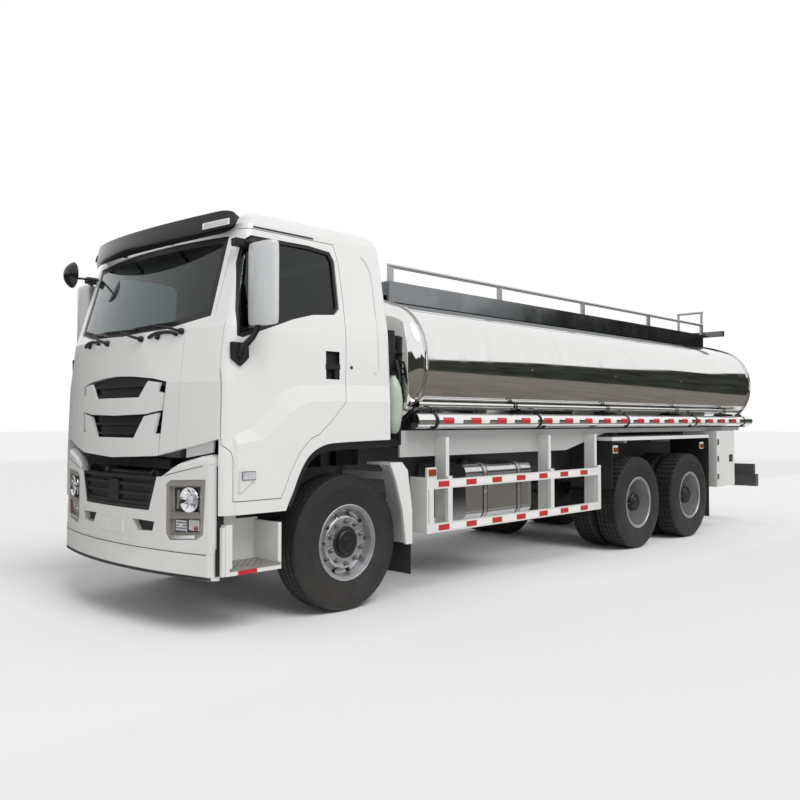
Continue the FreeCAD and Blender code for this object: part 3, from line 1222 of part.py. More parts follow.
mirror_case = box_solid((930, 1030), (1230, 1510), (2170, 2755))
mirror_case = mirror_case.makeFillet(38, [edge for edge in mirror_case.Edges
                                          if edge.BoundBox.YLength < 1 or edge.BoundBox.XLength < 1])
base = side_prism(((1010, 2053), (1160, 2053), (1160, 1940), (1085, 1883), (1010, 1940)), side - 20, side + 24)
lower_arm = Part.makeCylinder(17, 175, vector(1085, side + 8, 1990), vector(-0.55, 0.5, 0.95))
lower_arm = lower_arm.fuse(Part.makeCylinder(17, 150, vector(1000, side + 82, 2120), vector(-0.1, 0.1, 1)))
pod = box_solid((915, 1095), (1100, 1185), (2740, 2870))
upper_arm = box_solid((955, 1010), (1150, 1300), (2728, 2772))
mirror = mirror_case.fuse([base, lower_arm, pod, upper_arm]).cut(outer_clear)
for name, piece in zip(("left", "right"), across(single(mirror))):
    node(shaped(f"mirror_{name}", piece))
convex = Part.makeSphere(125, vector(1190, -1075, 2790)).common(box_solid((1240, 1500), (-1400, -900), (2600, 3000)))
stem = Part.makeCylinder(10, 320, vector(1250, -1075, 2765), vector(-1, 0.25, 0))
convex = convex.fuse(stem).cut(outer_clear)
node(shaped("front_mirror", single(convex)))

# Check and write

doc.recompute()
for item in doc.Objects:
    if "Invalid" in item.State or "Error" in item.State:
        raise RuntimeError(f"{item.Name} failed: {item.State}")
os.makedirs("parts", exist_ok=True)
for part in NODES:
    shape = part.Shape
    if shape.isNull() or not shape.isValid() or not shape.Solids:
        raise RuntimeError(f"{part.Label} has no valid solid")
    shape.exportStep(f"parts/{part.Label}.step")
    bounds = shape.BoundBox
    print(f"{part.Label:24s} solids {len(shape.Solids):2d}  volume {shape.Volume / 1e6:9.2f}  "
          f"x {bounds.XMin:8.0f} {bounds.XMax:8.0f}  y {bounds.YMin:7.0f} {bounds.YMax:7.0f}  "
          f"z {bounds.ZMin:6.0f} {bounds.ZMax:6.0f}")
print(len(NODES), "nodes")
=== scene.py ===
import math

import bmesh
import bpy
from mathutils import Matrix, Vector


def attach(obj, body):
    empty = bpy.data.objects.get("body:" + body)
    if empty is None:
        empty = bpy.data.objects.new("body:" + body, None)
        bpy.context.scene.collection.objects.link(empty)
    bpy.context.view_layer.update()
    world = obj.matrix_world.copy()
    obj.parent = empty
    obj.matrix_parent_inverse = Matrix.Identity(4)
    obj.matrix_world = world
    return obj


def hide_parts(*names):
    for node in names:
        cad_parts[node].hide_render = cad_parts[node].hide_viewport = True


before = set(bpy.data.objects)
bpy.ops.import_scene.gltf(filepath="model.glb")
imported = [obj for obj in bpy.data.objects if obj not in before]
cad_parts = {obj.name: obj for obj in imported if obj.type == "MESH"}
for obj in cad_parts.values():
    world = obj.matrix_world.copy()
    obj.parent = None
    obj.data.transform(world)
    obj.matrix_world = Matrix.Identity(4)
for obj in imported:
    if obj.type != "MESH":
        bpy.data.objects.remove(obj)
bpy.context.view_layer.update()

bl_info = {
    "name": "Tanker Truck",
    "version": (1, 0, 0),
    "blender": (4, 5, 0),
    "location": "3D View > Sidebar > Tanker",
    "description": "Dresses the tanker truck's frame with paint, polished steel, rubber and fittings",
    "category": "Add Mesh",
}

# The front axle's place along the truck; forms are drawn in metres from the road below its middle.
AXLE_X = 3.45
WHEEL_HEIGHT = 0.541


# Node helpers

def add_node(tree, kind, **settings):
    """Adds a node; plain settings are attributes, and names with a leading s_ are sockets."""
    node = tree.nodes.new(kind)
    for name, value in settings.items():
        if name.startswith("s_"):
            node.inputs[name[2:].replace("_", " ")].default_value = value
        else:
            setattr(node, name, value)
    return node


def link(tree, source, target):
    tree.links.new(source, target)


def place_coordinates(tree):
    """Object coordinates, which are the truck's own metres because every object sits at the origin."""
    return add_node(tree, "ShaderNodeTexCoord").outputs["Object"]


def start_group(name, numbers, results):
    """New node group with coordinates and named numbers going in, and its two end nodes."""
    group = bpy.data.node_groups.new(name, "ShaderNodeTree")
    group.interface.new_socket(name="Coordinates", in_out="INPUT", socket_type="NodeSocketVector")
    for label, default in numbers:
        socket = group.interface.new_socket(name=label, in_out="INPUT", socket_type="NodeSocketFloat")
        socket.default_value = default
    for label in results:
        group.interface.new_socket(name=label, in_out="OUTPUT", socket_type="NodeSocketFloat")
    return group, add_node(group, "NodeGroupInput"), add_node(group, "NodeGroupOutput")


def maths(tree, operation, first, second=None, clamp=False):
    """Math node fed with sockets or numbers; gives its output socket."""
    node = add_node(tree, "ShaderNodeMath", operation=operation, use_clamp=clamp)
    for index, value in enumerate((first, second)):
        if value is None:
            continue
        if isinstance(value, (int, float)):
            node.inputs[index].default_value = value
        else:
            link(tree, value, node.inputs[index])
    return node.outputs[0]


def noise(tree, coordinates, scale, detail=3.0, roughness=0.5):
    node = add_node(tree, "ShaderNodeTexNoise", s_Scale=scale, s_Detail=detail, s_Roughness=roughness)
    link(tree, coordinates, node.inputs["Vector"])
    return node.outputs["Fac"]


def stretched(tree, coordinates, scale):
    node = add_node(tree, "ShaderNodeMapping", s_Scale=scale)
    link(tree, coordinates, node.inputs["Vector"])
    return node.outputs["Vector"]


def spread(tree, value, low, high, to_low=0.0, to_high=1.0):
    """Maps a value from one range to another, held at both ends."""
    node = add_node(tree, "ShaderNodeMapRange")
    for name, number in (("From Min", low), ("From Max", high), ("To Min", to_low), ("To Max", to_high)):
        node.inputs[name].default_value = number
    link(tree, value, node.inputs["Value"])
    return node.outputs["Result"]


def blended(tree, mask, first, second):
    """Mix of two colours, each a tuple or a socket."""
    node = add_node(tree, "ShaderNodeMix", data_type="RGBA")
    link(tree, mask, node.inputs["Factor"])
    for socket, value in ((node.inputs[6], first), (node.inputs[7], second)):
        if isinstance(value, tuple):
            socket.default_value = (*value[:3], 1.0)
        else:
            link(tree, value, socket)
    return node.outputs[2]


# Shared shader effects

def road_dust():
    """Dust that thickens towards the ground and lies in soft patches."""
    numbers = (("Clean height", 1.6), ("Patch scale", 3.0), ("Amount", 0.5))
    group, inputs, outputs = start_group("Road dust", numbers, ("Mask",))
    split = add_node(group, "ShaderNodeSeparateXYZ")
    link(group, inputs.outputs["Coordinates"], split.inputs[0])
    share = maths(group, "DIVIDE", split.outputs["Z"], inputs.outputs["Clean height"])
    low = maths(group, "SUBTRACT", 1.0, share, clamp=True)
    patches = add_node(group, "ShaderNodeTexNoise", s_Detail=6.0, s_Roughness=0.62)
    link(group, inputs.outputs["Coordinates"], patches.inputs["Vector"])
    link(group, inputs.outputs["Patch scale"], patches.inputs["Scale"])
    soft = spread(group, patches.outputs["Fac"], 0.32, 0.72, 0.25, 1.0)
    mask = maths(group, "MULTIPLY", maths(group, "MULTIPLY", low, soft), inputs.outputs["Amount"], clamp=True)
    link(group, mask, outputs.inputs["Mask"])
    return group


def fine_grain():
    """Small even grain for moulded plastic, cast metal and rubber."""
    group, inputs, outputs = start_group("Fine grain", (("Scale", 400.0),), ("Height", "Variation"))
    cells = add_node(group, "ShaderNodeTexVoronoi")
    link(group, inputs.outputs["Coordinates"], cells.inputs["Vector"])
    link(group, inputs.outputs["Scale"], cells.inputs["Scale"])
    link(group, cells.outputs["Distance"], outputs.inputs["Height"])
    wide = add_node(group, "ShaderNodeTexNoise", s_Scale=5.0, s_Detail=4.0)
    link(group, inputs.outputs["Coordinates"], wide.inputs["Vector"])
    link(group, wide.outputs["Fac"], outputs.inputs["Variation"])
    return group


def streaks():
    """Drips and wiping marks that run down a panel."""
    group, inputs, outputs = start_group("Streaks", (("Scale", 8.0),), ("Mask",))
    runs = stretched(group, inputs.outputs["Coordinates"], (1.0, 1.0, 0.12))
    marks = add_node(group, "ShaderNodeTexNoise", s_Detail=5.0, s_Roughness=0.6)
    link(group, runs, marks.inputs["Vector"])
    link(group, inputs.outputs["Scale"], marks.inputs["Scale"])
    link(group, spread(group, marks.outputs["Fac"], 0.5, 0.78), outputs.inputs["Mask"])
    return group


EFFECTS = {"Road dust": road_dust, "Fine grain": fine_grain, "Streaks": streaks}


def use_effect(tree, name, coordinates, **values):
    """Node of a shared effect, whose group is made at its first use."""
    group = bpy.data.node_groups.get(name) or EFFECTS[name]()
    node = add_node(tree, "ShaderNodeGroup", node_tree=group)
    link(tree, coordinates, node.inputs["Coordinates"])
    for label, value in values.items():
        node.inputs[label.replace("_", " ")].default_value = value
    return node


# Materials

def start_material(name, **sockets):
    """New material with a Principled BSDF; the sockets are set directly on it."""
    material = bpy.data.materials.new(name)
    material.use_nodes = True
    tree = material.node_tree
    surface = tree.nodes["Principled BSDF"]
    for key, value in sockets.items():
        surface.inputs[key.replace("_", " ")].default_value = value
    return material, tree, surface


def bump(tree, surface, height, strength, distance):
    node = add_node(tree, "ShaderNodeBump", s_Strength=strength, s_Distance=distance)
    link(tree, height, node.inputs["Height"])
    link(tree, node.outputs["Normal"], surface.inputs["Normal"])


def dusted(tree, surface, place, tone, dust_colour, clean_height, patch_scale, amount):
    """Lays road dust over a tone as the base colour; gives the dust's mask."""
    mask = use_effect(tree, "Road dust", place, Clean_height=clean_height, Patch_scale=patch_scale,
                      Amount=amount).outputs["Mask"]
    link(tree, blended(tree, mask, tone, dust_colour), surface.inputs["Base Color"])
    return mask


def toned(colour, share):
    """A darker or lighter version of a colour."""
    return tuple(min(1.0, share * part) for part in colour)


def painted_steel(name, colour, roughness=0.32, dust=0.35, clean_height=1.5, coat=0.6, peel=0.02):
    """Gloss paint with orange peel, dust towards the road and faint streaks."""
    material, tree, surface = start_material(name, Coat_Weight=coat, Coat_Roughness=0.06,
                                             Specular_IOR_Level=0.5)
    place = place_coordinates(tree)
    marks = use_effect(tree, "Streaks", place, Scale=7.0).outputs["Mask"]
    tone = blended(tree, maths(tree, "MULTIPLY", marks, 0.10), colour, toned(colour, 0.8))
    mask = dusted(tree, surface, place, tone, (0.36, 0.33, 0.29), clean_height, 2.2, dust)
    rough = maths(tree, "ADD", maths(tree, "MULTIPLY", mask, 0.5), roughness, clamp=True)
    link(tree, rough, surface.inputs["Roughness"])
    bump(tree, surface, noise(tree, place, 90.0, 1.0), peel, 0.002)
    return material


def polished_steel(name, colour, roughness, wave, wave_scale, stain=0.25):
    """Stainless sheet, mirror polished, with slight waves and water marks."""
    material, tree, surface = start_material(name, Metallic=1.0)
    place = place_coordinates(tree)
    marks = use_effect(tree, "Streaks", place, Scale=5.0).outputs["Mask"]
    stains = maths(tree, "MULTIPLY", marks, stain)
    link(tree, blended(tree, stains, colour, toned(colour, 0.72)), surface.inputs["Base Color"])
    cloud = spread(tree, noise(tree, place, 2.5, 5.0), 0.3, 0.7, roughness * 0.7, roughness * 1.5)
    rough = maths(tree, "ADD", cloud, maths(tree, "MULTIPLY", stains, 0.3))
    link(tree, rough, surface.inputs["Roughness"])
    bump(tree, surface, noise(tree, stretched(tree, place, (0.35, 1.0, 1.0)), wave_scale, 1.0), wave, 0.02)
    return material


def brushed_metal(name, colour, roughness, direction=(1.0, 60.0, 60.0), metallic=1.0, dust=0.2,
                  clean_height=1.4):
    """Metal with fine brush lines along one direction."""
    material, tree, surface = start_material(name, Metallic=metallic)
    place = place_coordinates(tree)
    lines = noise(tree, stretched(tree, place, direction), 6.0, 4.0, 0.7)
    tone = blended(tree, spread(tree, lines, 0.3, 0.7), toned(colour, 0.82), colour)
    mask = dusted(tree, surface, place, tone, (0.30, 0.27, 0.24), clean_height, 3.0, dust)
    rough = spread(tree, lines, 0.25, 0.75, roughness * 0.8, roughness * 1.3)
    rough = maths(tree, "ADD", rough, maths(tree, "MULTIPLY", mask, 0.4), clamp=True)
    link(tree, rough, surface.inputs["Roughness"])
    bump(tree, surface, lines, 0.08, 0.001)
    return material


def grained(name, colour, roughness=0.6, grain_scale=420.0, grain=0.25, dust=0.3, clean_height=1.2,
            coat=0.0):
    """Moulded plastic, rubber or cast metal with a fine grain and dust."""
    material, tree, surface = start_material(name, Coat_Weight=coat, Coat_Roughness=0.1)
    place = place_coordinates(tree)
    effect = use_effect(tree, "Fine grain", place, Scale=grain_scale)
    variation = effect.outputs["Variation"]
    tone = blended(tree, spread(tree, variation, 0.3, 0.7), toned(colour, 0.8), toned(colour, 1.15))
    dusted(tree, surface, place, tone, (0.30, 0.27, 0.23), clean_height, 4.0, dust)
    rough = spread(tree, variation, 0.2, 0.8, roughness * 0.88, min(1.0, roughness * 1.12))
    link(tree, rough, surface.inputs["Roughness"])
    bump(tree, surface, effect.outputs["Height"], grain, 0.0006)
    return material


def clear_glass(name, tint, roughness=0.0):
    """Safety glass with a light tint and a trace of dust."""
    material, tree, surface = start_material(name, Transmission_Weight=1.0, IOR=1.45, Metallic=0.0)
    place = place_coordinates(tree)
    haze = spread(tree, noise(tree, place, 3.0, 6.0), 0.35, 0.8, 0.0, 0.06)
    link(tree, blended(tree, haze, tint, toned(tint, 0.9)), surface.inputs["Base Color"])
    link(tree, maths(tree, "ADD", maths(tree, "MULTIPLY", haze, 0.4), roughness), surface.inputs["Roughness"])
    return material


def lens_plastic(name, colour, roughness=0.12, pattern=160.0):
    """Moulded lens or reflector with small prisms behind a glossy face."""
    material, tree, surface = start_material(name, Coat_Weight=0.8, Coat_Roughness=0.05)
    place = place_coordinates(tree)
    prisms = use_effect(tree, "Fine grain", place, Scale=pattern)
    tone = blended(tree, spread(tree, prisms.outputs["Height"], 0.1, 0.7), colour, toned(colour, 0.55))
    link(tree, tone, surface.inputs["Base Color"])
    link(tree, spread(tree, prisms.outputs["Variation"], 0.2, 0.8, roughness, roughness * 1.5),
         surface.inputs["Roughness"])
    bump(tree, surface, prisms.outputs["Height"], 0.3, 0.001)
    return material


def woven_cloth(name, colour):
    """Seat cloth with a plain weave."""
    material, tree, surface = start_material(name, Sheen_Weight=0.35, Sheen_Roughness=0.5)
    place = place_coordinates(tree)
    warp = add_node(tree, "ShaderNodeTexWave", bands_direction="Y", s_Scale=160.0, s_Distortion=0.6)
    weft = add_node(tree, "ShaderNodeTexWave", bands_direction="Z", s_Scale=160.0, s_Distortion=0.6)
    for wave in (warp, weft):
        link(tree, place, wave.inputs["Vector"])
    weave = maths(tree, "MULTIPLY", warp.outputs["Fac"], weft.outputs["Fac"])
    link(tree, blended(tree, weave, toned(colour, 0.6), colour), surface.inputs["Base Color"])
    link(tree, spread(tree, weave, 0.0, 1.0, 0.95, 0.75), surface.inputs["Roughness"])
    bump(tree, surface, weave, 0.4, 0.001)
    return material


MATERIALS = {}


def make_materials(paint):
    """Every finish on the truck, by name."""
    white = tuple(paint.cab_white)
    frame_black = tuple(paint.frame_black)
    steel = tuple(paint.steel)
    MATERIALS.update({
        "cab_paint": painted_steel("Cab paint", white),
        "body_paint": painted_steel("Body paint", white, roughness=0.4, dust=0.5, clean_height=1.7, coat=0.4),
        "chassis": painted_steel("Chassis paint", frame_black, roughness=0.5, dust=0.3, coat=0.1),
        "tank": polished_steel("Polished tank", steel, 0.06, 0.05, 1.6),
        "deck": polished_steel("Walkway sheet", (0.24, 0.25, 0.26), 0.14, 0.10, 3.0),
        "pipe": polished_steel("Polished tube", (0.86, 0.86, 0.85), 0.10, 0.05, 2.0),
        "rail": brushed_metal("Rail tube", (0.55, 0.55, 0.55), 0.3),
        "fuel": brushed_metal("Fuel tank sheet", (0.70, 0.71, 0.72), 0.16),
        "iron": grained("Cast iron", (0.045, 0.045, 0.048), 0.7, 250.0, 0.4, 0.5),
        "tyre": grained("Tyre rubber", (0.009, 0.009, 0.0095), 0.74, 300.0, 0.3, 0.11),
        "rubber": grained("Sheet rubber", (0.012, 0.012, 0.013), 0.65, 300.0, 0.3, 0.18),
        "rim": brushed_metal("Wheel metal", (0.60, 0.61, 0.63), 0.30, (1.0, 6.0, 6.0), 0.85, 0.3, 1.2),
        "black": grained("Black plastic", (0.008, 0.008, 0.009), 0.55, 600.0, 0.2, 0.12),
        "visor": grained("Smoked visor", (0.004, 0.0045, 0.006), 0.22, 50.0, 0.0, 0.0),
        "glass": clear_glass("Cab glass", (0.20, 0.25, 0.26)),
        "cloth": woven_cloth("Seat cloth", (0.10, 0.10, 0.11)),
        "silver": painted_steel("Silver shell", (0.62, 0.63, 0.64), roughness=0.3, dust=0.1, coat=0.4),
        "chrome": brushed_metal("Bright trim", (0.82, 0.83, 0.85), 0.06, dust=0.05),
        "nut": brushed_metal("Wheel nuts", (0.34, 0.33, 0.32), 0.4, dust=0.4, clean_height=1.2),
        "hub": grained("Hub casting", (0.005, 0.005, 0.005), 0.42, 200.0, 0.3, 0.08),
        "red": lens_plastic("Red lens", (0.55, 0.012, 0.01)),
        "amber": lens_plastic("Amber lens", (0.34, 0.062, 0.012)),
        "clear": lens_plastic("Clear lens", (0.75, 0.77, 0.80)),
        "tape": lens_plastic("Marking tape", (0.74, 0.012, 0.014), 0.45, 220.0),
        "mirror": polished_steel("Mirror glass", (0.72, 0.74, 0.75), 0.01, 0.0, 1.0, stain=0.05),
        "seal": grained("Rubber seal", (0.012, 0.012, 0.013), 0.55, 500.0, 0.15, 0.1),
        "tape_white": painted_steel("White marking tape", (0.80, 0.80, 0.79), 0.45, 0.1, 1.0, 0.1),
        # Painted shade: the white side skirts are given a mid grey that stands in for the shadow they lie in
        # under the tank
        "skirt_painted_shade": painted_steel("Skirt paint with painted shade", (0.50, 0.505, 0.50), 0.45, 0.5, 1.7, 0.2),
        "bottle": grained("Bottle plastic", (0.42, 0.50, 0.40), 0.4, 200.0, 0.1, 0.6, 2.6),
        "lining": woven_cloth("Cab lining cloth", (0.07, 0.07, 0.075)),
        "bezel": painted_steel("Lamp bezel paint", (0.27, 0.255, 0.23), roughness=0.3, dust=0.2, coat=0.5),
        "tread": brushed_metal("Chequer plate", (0.62, 0.61, 0.59), 0.35, dust=0.5),
        "dark_tread": brushed_metal("Dark chequer plate", (0.16, 0.16, 0.16), 0.4, dust=0.4),
    })


NODE_FINISHES = {
    "cab_paint": ("cab_roof", "cab_rear_wall", "cab_front", "cab_sides", "door_left", "door_right", "bumper",
                  "cab_steps"),
    "pipe": ("side_tubes",),
    "body_paint": ("rear_mudguards", "cabinets", "cabinet_door_left", "cabinet_door_right", "side_guards"),
    # The side skirts take the grey that is painted shade, not their own white
    "skirt_painted_shade": ("side_skirts",),
    "chassis": ("rear_underrun", "frame_rails", "battery_and_air_tanks", "cab_floor", "tank_bearers",
                "tank_saddles"),
    "tank": ("tank_shell",),
    "deck": ("walkway", "manhole_lid_front", "manhole_lid_rear"),
    "rail": ("handrails_and_ladder", "discharge_pipe"),
    "fuel": ("fuel_tank",),
    "iron": ("engine_and_shaft", "front_axle", "rear_axles", "leaf_springs", "knuckle_left",
             "knuckle_right"),
    "tyre": ("tyre_front_left", "tyre_front_right", "tyres_rear_1_left", "tyres_rear_1_right",
             "tyres_rear_2_left", "tyres_rear_2_right"),
    "rim": ("rim_front_left", "rim_front_right", "rim_rear_1_left", "rim_rear_1_right", "rim_rear_2_left",
            "rim_rear_2_right"),
    "rubber": ("mudflaps",),
    "black": ("bumper_grille", "front_grille", "dashboard", "air_intake"),
    "visor": ("sun_visor", "front_mirror"),
    "bezel": ("headlamps",),
    "glass": ("windscreen", "door_glass_left", "door_glass_right"),
    "cloth": ("seats",),
    "silver": ("mirror_left", "mirror_right"),
}


# Shape building

class Form:
    """Points and faces of a piece, gathered from bars, turned shapes, prisms and ribbons."""

    def __init__(self):
        self.points = []
        self.faces = []

    def add(self, points, faces):
        base = len(self.points)
        self.points += [Vector(point) for point in points]
        self.faces += [tuple(base + index for index in face) for face in faces]
        return self

    def turned(self, profile, centre, axis="Y", steps=48, start=0.0, sweep=2 * math.pi):
        """Profile of (along, radius) points turned round an axis through the centre."""
        whole = abs(sweep - 2 * math.pi) < 1e-6
        rings = steps if whole else steps + 1
        points, faces = [], []
        for ring in range(rings):
            angle = start + sweep * ring / steps
            c, s = math.cos(angle), math.sin(angle)
            for along, radius in profile:
                u, v = radius * c, radius * s
                spot = {"X": (along, u, v), "Y": (u, along, v), "Z": (u, v, along)}[axis]
                points.append(Vector(spot) + Vector(centre))
        count = len(profile)
        for ring in range(steps):
            after = (ring + 1) % rings
            for index in range(count - 1):
                faces.append((ring * count + index, ring * count + index + 1, after * count + index + 1,
                              after * count + index))
        return self.add(points, faces)

    def tube(self, path, radius, sides=12, closed=False):
        """Round tube along a path of points; radius may be a list."""
        path = [Vector(point) for point in path]
        count = len(path)
        radii = radius if isinstance(radius, (list, tuple)) else [radius] * count
        points, faces = [], []
        up = None
        for index, spot in enumerate(path):
            before = path[index - 1] if index or closed else spot
            after = path[(index + 1) % count] if index < count - 1 or closed else spot
            along = (after - before).normalized()
            if up is None:
                up = along.orthogonal().normalized()
            up = (up - along * up.dot(along)).normalized()
            side = along.cross(up)
            for step in range(sides):
                angle = 2 * math.pi * step / sides
                points.append(spot + (up * math.cos(angle) + side * math.sin(angle)) * radii[index])
        spans = count if closed else count - 1
        for index in range(spans):
            after = (index + 1) % count
            for step in range(sides):
                beside = (step + 1) % sides
                faces.append((index * sides + step, index * sides + beside, after * sides + beside,
                              after * sides + step))
        if not closed:
            faces.append(tuple(reversed(range(sides))))
            faces.append(tuple((count - 1) * sides + step for step in range(sides)))
        return self.add(points, faces)

    def prism(self, outline, axis, low, high):
        """Outline of two-number corners in the plane across the axis, from low to high."""
        def spot(corner, level):
            u, v = corner
            return {"X": (level, u, v), "Y": (u, level, v), "Z": (u, v, level)}[axis]
        count = len(outline)
        points = [spot(corner, low) for corner in outline] + [spot(corner, high) for corner in outline]
        faces = [tuple(range(count)), tuple(reversed(range(count, 2 * count)))]
        for index in range(count):
            after = (index + 1) % count
            faces.append((index, index + count, after + count, after))
        return self.add(points, faces)

    def slab(self, x, y, z):
        """Block between spans."""
        return self.prism(((x[0], y[0]), (x[1], y[0]), (x[1], y[1]), (x[0], y[1])), "Z", z[0], z[1])

    def ribbon(self, spots, width, lift):
        """Flat band along (place, normal) spots, raised along the normals; width lies across the path."""
        points, faces = [], []
        count = len(spots)
        for index, (place, normal) in enumerate(spots):
            along = (spots[min(index + 1, count - 1)][0] - spots[max(index - 1, 0)][0]).normalized()
            normal = normal.normalized()
            side = along.cross(normal).normalized() * width / 2
            for offset, height in ((side, -0.001), (side, lift), (-side, lift), (-side, -0.001)):
                points.append(place + offset + normal * height)
        for index in range(count - 1):
            for step in range(4):
                a, b = 4 * index + step, 4 * index + (step + 1) % 4
                faces.append((a, b, b + 4, a + 4))
        faces += [(3, 2, 1, 0), tuple(4 * (count - 1) + step for step in range(4))]
        return self.add(points, faces)

    def skin(self, rows, low, high):
        """Sheet over rows of (place, normal) pairs, from one height above them to another."""
        down, wide = len(rows), len(rows[0])
        half = down * wide
        points = [place + normal * lift for lift in (low, high) for row in rows for place, normal in row]
        faces = []
        for i in range(down - 1):
            for a in range(i * wide, i * wide + wide - 1):
                faces.append((a, a + 1, a + wide + 1, a + wide))
                faces.append((half + a, half + a + wide, half + a + wide + 1, half + a + 1))
        rim = list(range(wide)) + [i * wide + wide - 1 for i in range(1, down)]
        rim += [(down - 1) * wide + j for j in range(wide - 2, -1, -1)]
        rim += [i * wide for i in range(down - 2, 0, -1)]
        faces += [(a, half + a, half + b, b) for a, b in zip(rim, rim[1:] + rim[:1])]
        return self.add(points, faces)

    def placed(self, spot):
        """Stands a form drawn with X across, Y up and Z outwards on a (place, normal) spot."""
        place, normal = spot
        out = Vector(normal).normalized()
        across = Vector((0, 0, 1)).cross(out).normalized()
        turn = Matrix((across, out.cross(across), out)).transposed()
        self.points = [place + turn @ point for point in self.points]
        return self

    def join(self, other):
        return self.add(other.points, other.faces)

    def block(self, x, y, z, spot):
        """Adds a slab that stands on a (place, normal) spot."""
        return self.join(Form().slab(x, y, z).placed(spot))

    def plate(self, outline, low, high, spot):
        """Adds a flat outline that stands on a spot, from low to high above it."""
        return self.join(Form().prism(outline, "Z", low, high).placed(spot))

    def knob(self, profile, steps, spot, across=0.0, up=0.0):
        """Adds a profile of (height, radius) points turned on a spot or beside it."""
        return self.join(Form().turned(profile, (across, up, 0), "Z", steps).placed(spot))

    def mirrored(self):
        """The same form on the truck's right-hand side."""
        other = Form()
        other.points = [Vector((p.x, -p.y, p.z)) for p in self.points]
        other.faces = [tuple(reversed(face)) for face in self.faces]
        return other

    def both(self):
        other = self.mirrored()
        return Form().add(self.points, self.faces).add(other.points, other.faces)

    def mesh(self, name, bevel=0.0, sharp=35.0):
        """Mesh in the truck's own metres, with its corners rounded and its edges sharp beyond an angle."""
        bm = bmesh.new()
        # Rounded, so that corners drawn in round numbers stay on them once they are moved to the truck
        corners = [bm.verts.new((round(AXLE_X + x, 7), y, z)) for x, y, z in self.points]
        for face in self.faces:
            if len(set(face)) == len(face):
                try:
                    bm.faces.new([corners[index] for index in face])
                except ValueError:
                    continue
        bmesh.ops.remove_doubles(bm, verts=bm.verts, dist=1e-6)
        bmesh.ops.recalc_face_normals(bm, faces=bm.faces)
        if bevel:
            corner = math.radians(30)
            edges = [edge for edge in bm.edges if edge.is_manifold and edge.calc_face_angle(0) > corner]
            bmesh.ops.bevel(bm, geom=edges, offset=bevel, segments=2, affect="EDGES", clamp_overlap=True)
        mesh = bpy.data.meshes.new(name)
        bm.to_mesh(mesh)
        bm.free()
        for polygon in mesh.polygons:
            polygon.use_smooth = True
        mesh.set_sharp_from_angle(angle=math.radians(sharp))
        return mesh

    def piece(self, name, finish, body, bevel=0.0, sharp=35.0, replaces=()):
        """Makes the object, gives it its finish and lets it ride on a body."""
        made = bpy.data.objects.new(name, self.mesh(name, bevel, sharp))
        made.data.materials.append(MATERIALS[finish])
        bpy.context.scene.collection.objects.link(made)
        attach(made, body)
        if replaces:
            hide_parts(*replaces)
        return made

    def pair(self, name, finish, body, bevel=0.0, sharp=35.0, replaces=()):
        """Makes the piece on the left-hand body and its mirror image on the right-hand one."""
        for form, side in ((self, "left"), (self.mirrored(), "right")):
            nodes = [f"{node}_{side}" for node in replaces]
            form.piece(f"{name}_{side}", finish, f"{body}_{side}", bevel, sharp, replaces=nodes)


def seen_from(direction, start, names, back=3.0):
    """Where a line of sight from behind the start first meets the named nodes: place and normal."""
    direction = Vector(direction).normalized()
    eye = Vector((AXLE_X + start[0], start[1], start[2])) - direction * back
    best = None
    for name in names:
        hit, place, normal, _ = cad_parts[name].ray_cast(eye, direction)
        if hit and (best is None or (place - best[0]).dot(direction) < 0):
            best = (place, normal)
    if best is None:
        raise RuntimeError(f"nothing of {names} lies at {tuple(start)}")
    place, normal = best
    return Vector((place.x - AXLE_X, place.y, place.z)), normal


CAB_SHELL = ("cab_front", "cab_sides", "cab_roof", "windscreen", "cab_rear_wall")


def on_front(y, z, names=CAB_SHELL):
    """Point and normal of the cab's front at a place across and up."""
    return seen_from((-1, 0, 0), (1.6, y, z), names)


def on_side(x, z, side=1, names=("door_left", "cab_sides")):
    """Point and normal of the cab's side at a place along and up, measured from the front axle."""
    return seen_from((0, -side, 0), (x, side * 1.6, z), names)


def top_of(x, y, node):
    """Height of a node's upper face."""
    return seen_from((0, 0, -1), (x, y, 3.4), (node,))[0].z


def facing(side, profile):
    """Profile of (along, radius) points turned to point out of the truck on the given side."""
    return [(side * along, radius) for along, radius in profile]


def round_band(form, x, width, lift, node, middle):
    """Adds a closed band round a node's section at x, cast from the section's middle."""
    spots = []
    for step in range(97):
        angle = 2 * math.pi * (step % 96) / 96
        out = Vector((0, math.cos(angle), math.sin(angle)))
        spots.append(seen_from(-out, (x, *middle), (node,)))
    form.ribbon(spots, width, lift)


def lozenge(form, x, y, low, high, turned, long, short):
    """Adds one raised bar of a chequered tread, along the truck when turned and across it when not."""
    reach, half = (long, short) if turned else (short, long)
    form.prism(((x - reach, y), (x, y - half), (x + reach, y), (x, y + half)), "Z", low, high)


def stepped(corners, step):
    """Points along straight runs between corners, no further apart than the step."""
    result = []
    for first, second in zip(corners, corners[1:]):
        first, second = Vector(first), Vector(second)
        count = max(1, math.ceil((second - first).length / step))
        result += [first.lerp(second, index / count) for index in range(count)]
    return result + [Vector(corners[-1])]


# Sizes and colours a user would change

class TankerPaint(bpy.types.PropertyGroup):
    """Colours of the truck's main finishes."""

    cab_white: bpy.props.FloatVectorProperty(
        name="Cab white", description="Colour of the cab's paint", subtype="COLOR", size=3,
        min=0.0, max=1.0, default=(0.76, 0.77, 0.75))
    frame_black: bpy.props.FloatVectorProperty(
        name="Frame black", description="Colour of the ladder frame's paint", subtype="COLOR", size=3,
        min=0.0, max=1.0, default=(0.05, 0.05, 0.055))
    steel: bpy.props.FloatVectorProperty(
        name="Tank steel", description="Colour of the polished tank", subtype="COLOR", size=3,
        min=0.0, max=1.0, default=(0.80, 0.80, 0.79))


